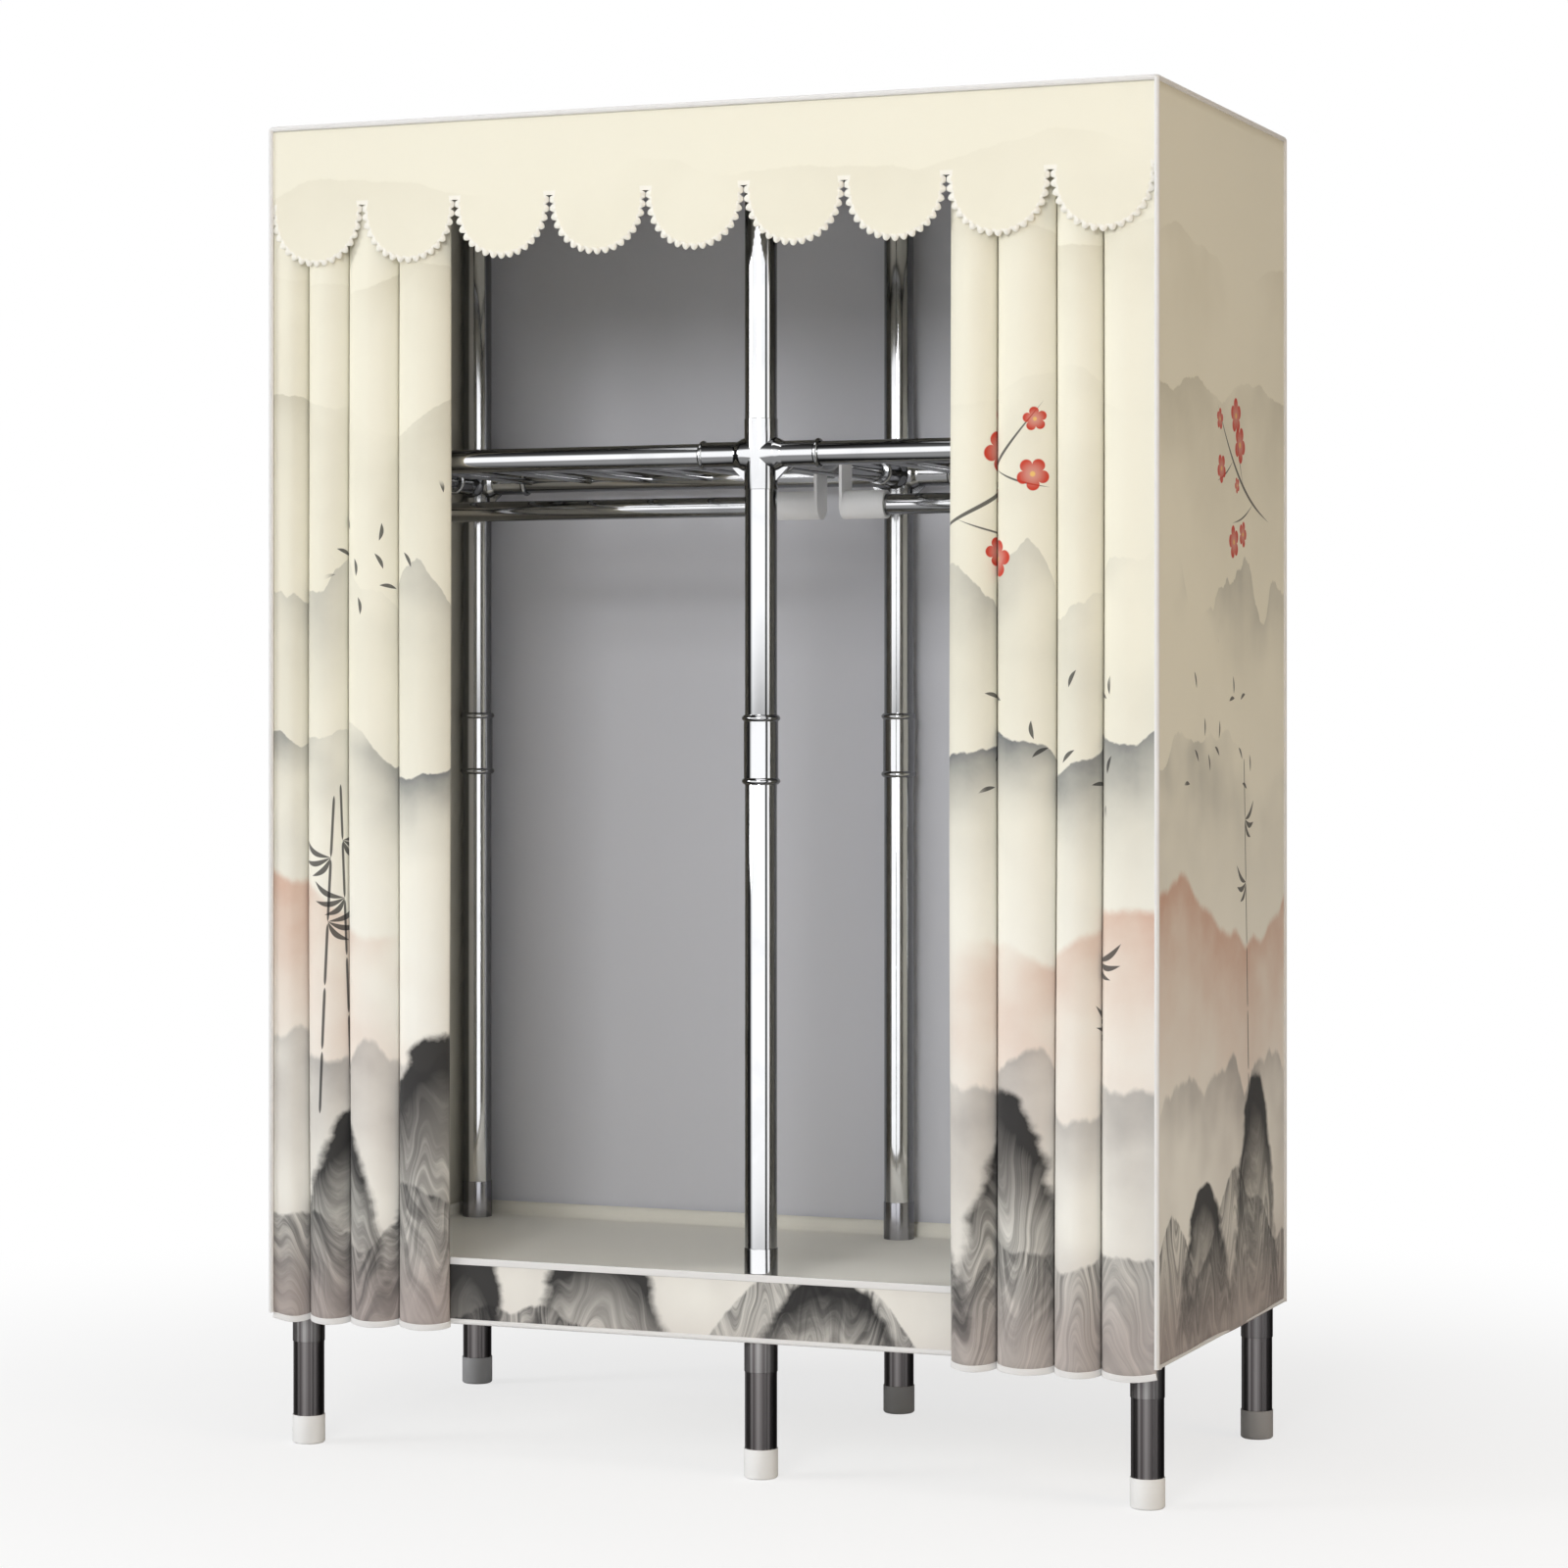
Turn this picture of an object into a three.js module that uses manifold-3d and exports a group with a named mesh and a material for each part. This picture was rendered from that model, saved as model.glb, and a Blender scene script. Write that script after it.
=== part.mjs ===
// Portable fabric wardrobe: a tube frame on six posts under a cloth cover, with two gathered
// curtains on a rod, a barred shelf and a hanging rod in each bay, and a cloth floor tray.
// Millimetres, +Z up, X to the right along the front, the front facing -Y.
// The origin is on the floor, under the middle of the cover.
import * as THREE from "three";
import { mergeVertices } from "three/addons/utils/BufferGeometryUtils.js";
import Module from "manifold-3d";

const wasm = await Module();
wasm.setup();

// Cover
const coverWidth = 1187;
const coverDepth = 580;
const coverTopHeight = 1700;
const coverHemHeight = 174;
const clothThickness = 1.2;

// Clearance that touching pieces keep, how far a cut runs past what it cuts, and how near
// two vertices lie that are one
const seatGap = 0.3;
const overrun = 4;
const mergeDistance = 1e-4;

// Posts
const postDiameter = 40;
const postWall = 0.7;
const postSideGap = 2.8;
const postFrontGap = 2.1;
const postBackGap = 4.3;
const centrePostOffset = 68;

// Rails and the shelf bars
const railDiameter = 30;
const railWall = 0.7;
const shelfRailHeight = 1268;
const shelfBarDiameter = 9;
const shelfBarPitch = 105;

// Coupler in the middle of each post
const couplerBottomHeight = 859;
const couplerLength = 86;
const couplerWall = 1.2;
const couplerBeadWidth = 8;
const couplerBeadProud = 2.6;

// Connectors: a sleeve round the post and sockets for the rails
const sleeveWall = 1.2;
const collarDrop = 82.5;
const collarRise = 50;
const shelfSleeveReach = 44;
const topSleeveDrop = 44;
const socketWall = 1.5;
const socketFloor = 8.5;
const socketDepth = 50;
const socketBeadWidth = 6;
const socketBeadProud = 2.2;
const gussetReach = 16;
const gussetThickness = 6;

// Foot caps
const footCapHeight = 37;
const footCapWall = 1.6;
const footCapFloor = 4;
const footCapChamfer = 2;

// Floor tray
const trayFloorHeight = 235;
const trayLipRise = 19.6;
const apronDrop = 65;
const trayBackInset = 10;

// Valance
const valanceNotchDrop = 104;
const valanceScallopDrop = 181;
const scallopCount = 9;
const scallopSteps = 8;

// Curtains, from the corner to the leading edge
const curtainWidth = 264;
const curtainDepth = 24;
const curtainHeadDrop = 18;
const curtainHemHeight = { left: 168, right: 162 };
const fluteWidthShares = {
  left: [0.21, 0.225, 0.28, 0.285],
  right: [0.217, 0.246, 0.3, 0.237],
};
const curtainValanceGap = 0.5;
const fluteSteps = 10;
const fluteRoundness = 2.4;
const ringPlaceShare = 0.25;

// Curtain rod, its rings and its clip
const curtainRodDiameter = 10;
const curtainRodDrop = 36;
const ringBore = 16;
const ringWire = 3;
const ringTabThickness = 2.4;
const ringTabLength = 12;
const ringValanceGap = 1.5;
const rodBossWall = 3;
const rodBossGap = 1.8;
const rodPinInset = 4;
const clipWidth = 9;
const clipWall = 1.6;
const clipArmHeight = 6;

// Hanging rods and the cups that hook them on the depth rails
const hangingRodDiameter = 26.5;
const hangingRodWall = 0.7;
const hangingRodDrop = 52;
const cupWall = 5;
const cupLength = 60;
const cupFloor = 6;
const hookWall = 4;
const hookWidth = 14;
const hookGap = 2;
const hookTipGap = 1.2;
const hookSteps = 8;

// Facets round each kind of tube
const postSides = 14;
const railSides = 10;
const barSides = 8;
const ringSides = 12;
const ringWireSides = 5;

// Sizes worked out from the ones above
const postRadius = postDiameter / 2;
const railRadius = railDiameter / 2;
const sleeveBore = postRadius + seatGap;
const sleeveRadius = sleeveBore + sleeveWall;
const socketBore = railRadius + seatGap;
const socketRadius = socketBore + socketWall;
const socketBeadRadius = socketRadius + socketBeadProud;
const socketReach = sleeveRadius + socketFloor + socketDepth;
const connectorRadius = Math.max(sleeveRadius, socketBeadRadius);
const bottomRailHeight = trayFloorHeight - clothThickness - seatGap - socketBeadRadius;
const topRailHeight = coverTopHeight - clothThickness - seatGap - socketBeadRadius;
const frontPlane = -coverDepth / 2;
const backPlane = coverDepth / 2;
const sideClothInner = coverWidth / 2 - clothThickness;
const curtainFrontY = frontPlane + clothThickness + curtainValanceGap;
const trayFront = curtainFrontY + curtainDepth + curtainValanceGap;
const trayBack = backPlane - trayBackInset;
const trayHalfWidth = sideClothInner - seatGap;
const frontPostY = trayFront + clothThickness + postFrontGap + connectorRadius;
const backPostY = trayBack - clothThickness - postBackGap - connectorRadius;
const sidePostX = trayHalfWidth - clothThickness - postSideGap - connectorRadius;
const columns = { left: -sidePostX, centre: centrePostOffset, right: sidePostX };
const rows = { front: frontPostY, back: backPostY };
const railEndInset = socketReach - socketDepth + seatGap;
const ringOuterRadius = ringBore / 2 + ringWire;
const curtainRodY = frontPlane + clothThickness + ringValanceGap + ringOuterRadius;
const curtainRodHeight = coverTopHeight - curtainRodDrop;
const curtainTopHeight = curtainRodHeight - curtainHeadDrop;
const trayLipHeight = trayFloorHeight + trayLipRise;
const apronBottomHeight = trayFloorHeight - apronDrop;
const fabricTop = coverTopHeight - clothThickness - seatGap;
const hookBore = railRadius + seatGap;
const hookSweep = Math.PI - Math.asin((hookWall + hookTipGap) / hookBore);
const hookStagger = (hookWidth + hookGap) / 2;

// Finishes, one new material for each mesh
const finishes = {
  chrome: { color: 0xd4d6d9, roughness: 0.14, metalness: 1 },
  capPlastic: { color: 0xe6e6e4, roughness: 0.5, metalness: 0 },
  cupPlastic: { color: 0xaaabad, roughness: 0.45, metalness: 0 },
  printedCloth: { color: 0xefe9d5, roughness: 0.9, metalness: 0 },
  greyCloth: { color: 0x98989a, roughness: 0.9, metalness: 0 },
  trayCloth: { color: 0xd6d2c6, roughness: 0.9, metalness: 0 },
};

// A closed geometry as a solid that can be joined and cut
function solidOf(geometry) {
  const bare = geometry.index ? geometry.toNonIndexed() : geometry.clone();
  bare.deleteAttribute("normal");
  bare.deleteAttribute("uv");
  const merged = mergeVertices(bare, mergeDistance);
  return new wasm.Manifold(
    new wasm.Mesh({
      numProp: 3,
      vertProperties: merged.attributes.position.array,
      triVerts: new Uint32Array(merged.index.array),
    }),
  );
}

// A solid back as a geometry for a mesh
function geometryOf(solid) {
  const mesh = solid.getMesh();
  const geometry = new THREE.BufferGeometry();
  geometry.setAttribute("position", new THREE.BufferAttribute(mesh.vertProperties, mesh.numProp));
  geometry.setIndex(new THREE.BufferAttribute(mesh.triVerts, 1));
  geometry.computeVertexNormals();
  return geometry;
}

const joined = (geometries) => geometries.map(solidOf).reduce((whole, next) => whole.add(next));
const joinedAndCut = (outer, cuts) => geometryOf(joined(outer).subtract(joined(cuts)));

// One named mesh, placed in its group
function addPiece(group, name, geometry, finish, [x, y, z] = [0, 0, 0]) {
  const mesh = new THREE.Mesh(geometry, new THREE.MeshStandardMaterial(finishes[finish]));
  mesh.name = name;
  mesh.position.set(x, y, z);
  group.add(mesh);
  return mesh;
}

function addGroup(parent, [x, y, z] = [0, 0, 0]) {
  const group = new THREE.Group();
  group.position.set(x, y, z);
  parent.add(group);
  return group;
}

// A turned piece about +Z. The profile runs up its outside, as [radius, height] pairs
function turned(profile, sides) {
  const points = profile.map(([radius, height]) => new THREE.Vector2(radius, height));
  return new THREE.LatheGeometry(points, sides).rotateX(Math.PI / 2);
}

const closedLoop = (profile) => [...profile, profile[0]];
const alongX = (geometry) => geometry.rotateY(Math.PI / 2);
const alongY = (geometry) => geometry.rotateX(-Math.PI / 2);

// A solid bar and an open tube about +Z, between two heights
function bar(radius, from, to, sides) {
  return turned(
    [
      [0, from],
      [radius, from],
      [radius, to],
      [0, to],
    ],
    sides,
  );
}

function tube(radius, wall, from, to, sides) {
  return turned(
    closedLoop([
      [radius - wall, from],
      [radius, from],
      [radius, to],
      [radius - wall, to],
    ]),
    sides,
  );
}

// A box between two corners
function slab([x0, y0, z0], [x1, y1, z1]) {
  return new THREE.BoxGeometry(x1 - x0, y1 - y0, z1 - z0).translate(
    (x0 + x1) / 2,
    (y0 + y1) / 2,
    (z0 + z1) / 2,
  );
}

// An outline seen from the front, X across and Y up, made solid along Y and centred on Y = 0
function outlineInFront(shape, width, curveSegments) {
  const options = { depth: width, bevelEnabled: false, curveSegments };
  return new THREE.ExtrudeGeometry(shape, options).rotateX(Math.PI / 2).translate(0, width / 2, 0);
}

// A moulded cap that the bottom of the post stands in
function footCap() {
  const outside = postRadius + seatGap + footCapWall;
  return turned(
    [
      [0, 0],
      [outside - footCapChamfer, 0],
      [outside, footCapChamfer],
      [outside, footCapHeight],
      [postRadius + seatGap, footCapHeight],
      [postRadius + seatGap, footCapFloor],
      [0, footCapFloor],
    ],
    postSides,
  );
}

// The lower tube of a post, with the coupler that takes the upper tube
function lowerPost() {
  const sleeve = postRadius + seatGap + couplerWall;
  const bead = sleeve + couplerBeadProud;
  const couplerTop = couplerBottomHeight + couplerLength;
  const jointHeight = couplerBottomHeight + couplerLength / 2;
  const beadSlope = couplerBeadWidth / 3;
  return turned(
    closedLoop([
      [postRadius - postWall, footCapFloor + seatGap],
      [postRadius, footCapFloor + seatGap],
      [postRadius, couplerBottomHeight],
      [bead, couplerBottomHeight + beadSlope],
      [bead, couplerBottomHeight + couplerBeadWidth - beadSlope],
      [sleeve, couplerBottomHeight + couplerBeadWidth],
      [sleeve, couplerTop - couplerBeadWidth],
      [bead, couplerTop - couplerBeadWidth + beadSlope],
      [bead, couplerTop - beadSlope],
      [postRadius + seatGap, couplerTop],
      [postRadius + seatGap, jointHeight],
      [postRadius - postWall, jointHeight],
    ]),
    postSides,
  );
}

// The upper tube of a post, standing on the lower one inside the coupler
function upperPost() {
  const bottom = couplerBottomHeight + couplerLength / 2 + seatGap;
  const top = topRailHeight + socketBeadRadius - sleeveWall - seatGap;
  return tube(postRadius, postWall, bottom, top, postSides);
}

// The levels of the frame, each with its sleeves' reach below and above the rails' axis
const levels = {
  bottom: {
    height: bottomRailHeight,
    below: collarDrop,
    above: trayFloorHeight + collarRise - bottomRailHeight,
    webs: [-1],
    capped: false,
  },
  shelf: {
    height: shelfRailHeight,
    below: shelfSleeveReach,
    above: shelfSleeveReach,
    webs: [-1, 1],
    capped: false,
  },
  top: {
    height: topRailHeight,
    below: topSleeveDrop,
    above: socketBeadRadius,
    webs: [-1],
    capped: true,
  },
};

// The outside of a socket that reaches along +Z from its post's axis, with a bead at its mouth
function socketOutside() {
  return turned(
    [
      [0, 0],
      [socketRadius, 0],
      [socketRadius, socketReach - socketBeadWidth],
      [socketBeadRadius, socketReach - socketBeadWidth],
      [socketBeadRadius, socketReach],
      [0, socketReach],
    ],
    railSides,
  );
}

const socketHole = () =>
  bar(socketBore, socketReach - socketDepth, socketReach + overrun, railSides);

const turnToward = {
  left: (geometry) => alongX(geometry).rotateZ(Math.PI),
  right: alongX,
  back: alongY,
};

// A web in the corner between a sleeve and a socket, on one side and above or below
function gusset(arm, up) {
  const side = arm === "left" ? -1 : 1;
  const sleeveEdge = side * sleeveRadius;
  const socketEdge = up * socketRadius;
  const corner = new THREE.Shape();
  corner.moveTo(0, 0);
  corner.lineTo(sleeveEdge + side * gussetReach, 0);
  corner.lineTo(sleeveEdge + side * gussetReach, socketEdge);
  corner.lineTo(sleeveEdge, socketEdge + up * gussetReach);
  corner.lineTo(0, socketEdge + up * gussetReach);
  corner.closePath();
  return outlineInFront(corner, gussetThickness, 1);
}

// The outer shape and the hollows of one connector at y, with sockets towards the named sides
function connectorForms(level, y, arms) {
  const sleeve = bar(sleeveRadius, -level.below, level.above, postSides);
  const holeTop = level.capped ? level.above - sleeveWall : level.above + overrun;
  const hole = bar(sleeveBore, -level.below - overrun, holeTop, postSides);
  const sideArms = arms.filter((arm) => arm !== "back");
  const webs = sideArms.flatMap((arm) => level.webs.map((up) => gusset(arm, up)));
  return {
    outer: [sleeve, ...arms.map((arm) => turnToward[arm](socketOutside())), ...webs].map(
      (geometry) => geometry.translate(0, y, 0),
    ),
    cuts: [hole, ...arms.map((arm) => turnToward[arm](socketHole()))].map((geometry) =>
      geometry.translate(0, y, 0),
    ),
  };
}

// The boss on a front corner connector that the curtain rod's bent end plugs into
function rodBossForms() {
  const outside = curtainRodDiameter / 2 + seatGap + rodBossWall;
  const mouth = curtainRodY + curtainRodDiameter / 2 + rodBossGap;
  const holeEnd = frontPostY - sleeveRadius - rodPinInset;
  const height = curtainRodHeight - topRailHeight;
  return {
    outer: alongY(bar(outside, mouth, frontPostY - sleeveBore, railSides)).translate(0, 0, height),
    cut: alongY(
      bar(curtainRodDiameter / 2 + seatGap, mouth - overrun, holeEnd, railSides),
    ).translate(0, 0, height),
  };
}

// A depth rail with the connectors on its two ends, about the rail's own height
function depthFrame(level, arms, hasFrontConnector, hasRodBoss) {
  const back = connectorForms(level, backPostY, arms);
  const outer = [...back.outer];
  const cuts = [...back.cuts];
  let railFront = frontPostY + railEndInset;
  if (hasFrontConnector) {
    const front = connectorForms(level, frontPostY, arms);
    outer.push(...front.outer);
    cuts.push(...front.cuts);
    railFront = frontPostY;
  }
  const hollowFront = hasFrontConnector ? railFront : railFront - overrun;
  outer.push(alongY(bar(railRadius, railFront, backPostY, railSides)));
  cuts.push(alongY(bar(railRadius - railWall, hollowFront, backPostY, railSides)));
  if (hasRodBoss) {
    const boss = rodBossForms();
    outer.push(boss.outer);
    cuts.push(boss.cut);
  }
  return joinedAndCut(outer, cuts);
}

// The open cross connector in front, which takes two shelf rails and the depth rail
function crossConnector() {
  const forms = connectorForms(levels.shelf, frontPostY, ["left", "right", "back"]);
  return joinedAndCut(forms.outer, forms.cuts);
}

// The bays between the posts
const bays = {
  left: { from: columns.left, to: columns.centre },
  right: { from: columns.centre, to: columns.right },
};

function rail(bay) {
  return alongX(
    tube(railRadius, railWall, bay.from + railEndInset, bay.to - railEndInset, railSides),
  );
}

// The barred shelf of a bay: a front rail and a back rail with bars across
function shelf(bay) {
  const span = bay.to - bay.from;
  const barCount = Math.floor(span / shelfBarPitch);
  const rails = [frontPostY, backPostY].map((y) =>
    alongX(bar(railRadius, bay.from + railEndInset, bay.to - railEndInset, railSides)).translate(
      0,
      y,
      0,
    ),
  );
  const hollows = [frontPostY, backPostY].map((y) =>
    alongX(
      bar(
        railRadius - railWall,
        bay.from + railEndInset - overrun,
        bay.to - railEndInset + overrun,
        railSides,
      ),
    ).translate(0, y, 0),
  );
  const bars = Array.from({ length: barCount }, (_, i) =>
    alongY(
      bar(shelfBarDiameter / 2, frontPostY + railRadius / 2, backPostY - railRadius / 2, barSides),
    ).translate(bay.from + (span * (i + 1)) / (barCount + 1), 0, 0),
  );
  return joinedAndCut([...rails, ...bars], hollows);
}

// A hanging rod between the floors of its two cups
const cupFloorInset = hookBore + cupFloor;
function hangingRod(bay) {
  return alongX(
    tube(
      hangingRodDiameter / 2,
      hangingRodWall,
      bay.from + cupFloorInset + seatGap,
      bay.to - cupFloorInset - seatGap,
      railSides,
    ),
  );
}

// The cup of a hanging rod. It opens towards +X, and its hook goes over the depth rail at the origin
function hookedCup(stagger) {
  const inner = hookBore;
  const outer = inner + hookWall;
  const cupRadius = hangingRodDiameter / 2 + seatGap + cupWall;
  const cup = turned(
    [
      [0, inner],
      [cupRadius, inner],
      [cupRadius, inner + cupLength],
      [hangingRodDiameter / 2 + seatGap, inner + cupLength],
      [hangingRodDiameter / 2 + seatGap, inner + cupFloor],
      [0, inner + cupFloor],
    ],
    railSides,
  );
  const hook = new THREE.Shape();
  hook.moveTo(inner, 0);
  hook.lineTo(outer, 0);
  hook.absarc(0, 0, outer, 0, hookSweep, false);
  hook.absarc(0, 0, inner, hookSweep, 0, true);
  const plateTop = hookWall;
  return geometryOf(
    joined([
      alongX(cup).translate(0, 0, -hangingRodDrop),
      slab([inner, -cupRadius, -hangingRodDrop - cupRadius], [outer, cupRadius, plateTop]),
      outlineInFront(hook, hookWidth, hookSteps).translate(0, stagger, 0),
    ]),
  );
}

// The curtain rod, with its ends bent back into the corner bosses
function curtainRod() {
  const radius = curtainRodDiameter / 2;
  const pinEnd = frontPostY - sleeveRadius - rodPinInset - seatGap;
  const ends = [columns.left, columns.right].flatMap((x) => [
    new THREE.SphereGeometry(radius, railSides, railSides / 2)
      .rotateX(Math.PI / 2)
      .translate(x, curtainRodY, 0),
    alongY(bar(radius, curtainRodY, pinEnd, railSides)).translate(x, 0, 0),
  ]);
  const run = alongX(bar(radius, columns.left, columns.right, railSides));
  return geometryOf(joined([run.translate(0, curtainRodY, 0), ...ends]));
}

// The clip that holds the curtain rod's middle, round a socket of the centre connector
function curtainRodClip() {
  const socketHoleRadius = socketRadius + seatGap;
  const rodHoleRadius = curtainRodDiameter / 2 + seatGap;
  const rodDrop = curtainRodHeight - topRailHeight;
  const ringAt = (radius, reach, y, z) =>
    alongX(bar(radius, -reach, reach, railSides)).translate(0, y, z);
  const half = clipWidth / 2;
  const arm = slab(
    [-half, curtainRodY, rodDrop - clipArmHeight / 2],
    [half, frontPostY - socketHoleRadius / 2, rodDrop + clipArmHeight / 2],
  );
  return joinedAndCut(
    [
      ringAt(socketHoleRadius + clipWall, half, frontPostY, 0),
      ringAt(rodHoleRadius + clipWall, half, curtainRodY, rodDrop),
      arm,
    ],
    [
      ringAt(socketHoleRadius, half + overrun, frontPostY, 0),
      ringAt(rodHoleRadius, half + overrun, curtainRodY, rodDrop),
    ],
  );
}

// The rounded section of a fold: half width 1 and rise 1, from its left foot over the front
function foldOutline(steps) {
  const power = 2 / fluteRoundness;
  return Array.from({ length: steps + 1 }, (_, i) => {
    const angle = (Math.PI * i) / steps;
    const across = -Math.sign(Math.cos(angle)) * Math.abs(Math.cos(angle)) ** power;
    return [i === steps / 2 ? 0 : across, i % steps ? Math.sin(angle) ** power : 0];
  });
}

// One fold of a curtain, its front at y = 0, with the ring that it hangs from towards ringSide
function flute(width, hemHeight, ringSide) {
  const halfWidth = width / 2 - seatGap / 2;
  const outer = foldOutline(fluteSteps).map(
    ([across, rise]) => new THREE.Vector2(halfWidth * across, curtainDepth * (1 - rise)),
  );
  const inner = foldOutline(fluteSteps).map(
    ([across, rise]) =>
      new THREE.Vector2(
        (halfWidth - clothThickness) * across,
        curtainDepth - (curtainDepth - clothThickness) * rise,
      ),
  );
  const section = new THREE.Shape([...outer, ...inner.reverse()]);
  const cloth = new THREE.ExtrudeGeometry(section, {
    depth: curtainTopHeight - hemHeight,
    bevelEnabled: false,
  }).translate(0, 0, hemHeight);
  const ringRadius = (ringBore + ringWire) / 2;
  const ringX = ringSide * ringPlaceShare * width;
  const facetedBore = (ringBore / 2) * Math.cos(Math.PI / ringSides);
  const ringHeight = curtainRodHeight + curtainRodDiameter / 2 + seatGap - facetedBore;
  const ringY = curtainRodY - curtainFrontY;
  const ring = new THREE.TorusGeometry(ringRadius, ringWire / 2, ringWireSides, ringSides)
    .rotateY(Math.PI / 2)
    .translate(ringX, ringY, ringHeight);
  const acrossShare = (2 * Math.abs(ringX)) / width;
  const clothFront = curtainDepth * (1 - (1 - acrossShare ** fluteRoundness) ** (1 / fluteRoundness));
  const tab = slab(
    [
      ringX - ringTabThickness / 2,
      clothFront + clothThickness / 2,
      curtainTopHeight - ringTabLength,
    ],
    [
      ringX + ringTabThickness / 2,
      ringY + ringWire,
      ringHeight - ringBore / 2 - ringWire / 3,
    ],
  );
  return geometryOf(joined([cloth, ring, tab]));
}

// Where each fold of a curtain hangs, its width and its ring's side
function flutePlan(side) {
  const toCentre = side === "left" ? 1 : -1;
  let edge = -toCentre * trayHalfWidth;
  return fluteWidthShares[side].map((share) => {
    const width = share * curtainWidth;
    const x = edge + (toCentre * width) / 2;
    edge += toCentre * width;
    return { x, width, ringSide: toCentre };
  });
}

// The valance: a flat strip whose lower edge is a row of scallops
function valance() {
  const halfWidth = coverWidth / 2;
  const pitch = coverWidth / scallopCount;
  const notch = -valanceNotchDrop;
  const deep = valanceScallopDrop - valanceNotchDrop;
  const outline = new THREE.Shape();
  outline.moveTo(halfWidth, 0);
  outline.lineTo(-halfWidth, 0);
  outline.lineTo(-halfWidth, notch);
  for (let i = 0; i < scallopCount * scallopSteps; i += 1) {
    const turn = ((i % scallopSteps) + 1) / scallopSteps;
    const x = -halfWidth + (pitch * (i + 1)) / scallopSteps;
    const bulge = Math.sqrt(Math.max(0, 1 - (2 * turn - 1) ** 2));
    outline.lineTo(x, notch - deep * bulge);
  }
  outline.closePath();
  const strip = { depth: clothThickness, bevelEnabled: false };
  return new THREE.ExtrudeGeometry(outline, strip)
    .rotateX(Math.PI / 2)
    .translate(0, frontPlane + clothThickness, fabricTop);
}

// The floor tray: a cloth floor on the bottom rails with lips round it and a front apron
function floorTray() {
  const floorBottom = trayFloorHeight - clothThickness;
  const block = slab(
    [-trayHalfWidth, trayFront, apronBottomHeight],
    [trayHalfWidth, trayBack, trayLipHeight],
  );
  const inside = slab(
    [-trayHalfWidth + clothThickness, trayFront + clothThickness, trayFloorHeight],
    [trayHalfWidth - clothThickness, trayBack - clothThickness, trayLipHeight + overrun],
  );
  const underneath = slab(
    [-trayHalfWidth - overrun, trayFront + clothThickness, apronBottomHeight - overrun],
    [trayHalfWidth + overrun, trayBack + overrun, floorBottom],
  );
  const holes = Object.values(columns).flatMap((x) =>
    Object.values(rows).map((y) =>
      bar(
        sleeveRadius + seatGap,
        floorBottom - overrun,
        trayFloorHeight + overrun,
        postSides,
      ).translate(x, y, 0),
    ),
  );
  return joinedAndCut([block], [inside, underneath, ...holes]);
}

// The flat panels of the cover, sewn along their edges
function coverPanels() {
  const halfWidth = coverWidth / 2;
  const inFront = frontPlane + clothThickness + seatGap;
  const top = coverTopHeight - clothThickness;
  return {
    cover_top: slab([-halfWidth, frontPlane, top], [halfWidth, backPlane, coverTopHeight]),
    cover_left: slab(
      [-halfWidth, inFront, coverHemHeight],
      [-sideClothInner, backPlane, fabricTop],
    ),
    cover_right: slab(
      [sideClothInner, inFront, coverHemHeight],
      [halfWidth, backPlane, fabricTop],
    ),
    cover_back: slab(
      [-sideClothInner + seatGap, backPlane - clothThickness, coverHemHeight],
      [sideClothInner - seatGap, backPlane, fabricTop],
    ),
  };
}

// Assembly
const wardrobe = new THREE.Group();

function addPosts(parent) {
  for (const [column, x] of Object.entries(columns)) {
    for (const [row, y] of Object.entries(rows)) {
      const post = addGroup(parent, [x, y, 0]);
      addPiece(post, `foot_cap_${column}_${row}`, footCap(), "capPlastic");
      addPiece(post, `lower_post_${column}_${row}`, lowerPost(), "chrome");
      addPiece(post, `upper_post_${column}_${row}`, upperPost(), "chrome");
    }
  }
}

const armsOf = { left: ["right"], centre: ["left", "right"], right: ["left"] };

function addDepthFrames(parent) {
  for (const [levelName, level] of Object.entries(levels)) {
    for (const [column, x] of Object.entries(columns)) {
      const openFront = levelName === "shelf" && column === "centre";
      const rodBoss = levelName === "top" && column !== "centre";
      const geometry = depthFrame(level, armsOf[column], !openFront, rodBoss);
      addPiece(parent, `depth_frame_${column}_${levelName}`, geometry, "chrome", [
        x,
        0,
        level.height,
      ]);
    }
  }
  addPiece(parent, "cross_connector", crossConnector(), "chrome", [
    columns.centre,
    0,
    shelfRailHeight,
  ]);
}

function addRails(parent) {
  for (const [side, bay] of Object.entries(bays)) {
    for (const [row, y] of Object.entries(rows)) {
      addPiece(parent, `bottom_rail_${side}_${row}`, rail(bay), "chrome", [0, y, bottomRailHeight]);
      addPiece(parent, `top_rail_${side}_${row}`, rail(bay), "chrome", [0, y, topRailHeight]);
    }
    addPiece(parent, `shelf_${side}`, shelf(bay), "chrome", [0, 0, shelfRailHeight]);
  }
}

function addHangingRods(parent) {
  const middle = (frontPostY + backPostY) / 2;
  for (const [side, bay] of Object.entries(bays)) {
    addPiece(parent, `hanging_rod_${side}`, hangingRod(bay), "chrome", [
      0,
      middle,
      shelfRailHeight - hangingRodDrop,
    ]);
    const ends = { start: bay.from, end: bay.to };
    for (const [end, x] of Object.entries(ends)) {
      const cup = addPiece(parent, `rod_cup_${side}_${end}`, hookedCup(hookStagger), "cupPlastic", [
        x,
        middle,
        shelfRailHeight,
      ]);
      cup.rotation.z = end === "end" ? Math.PI : 0;
    }
  }
}

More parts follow.
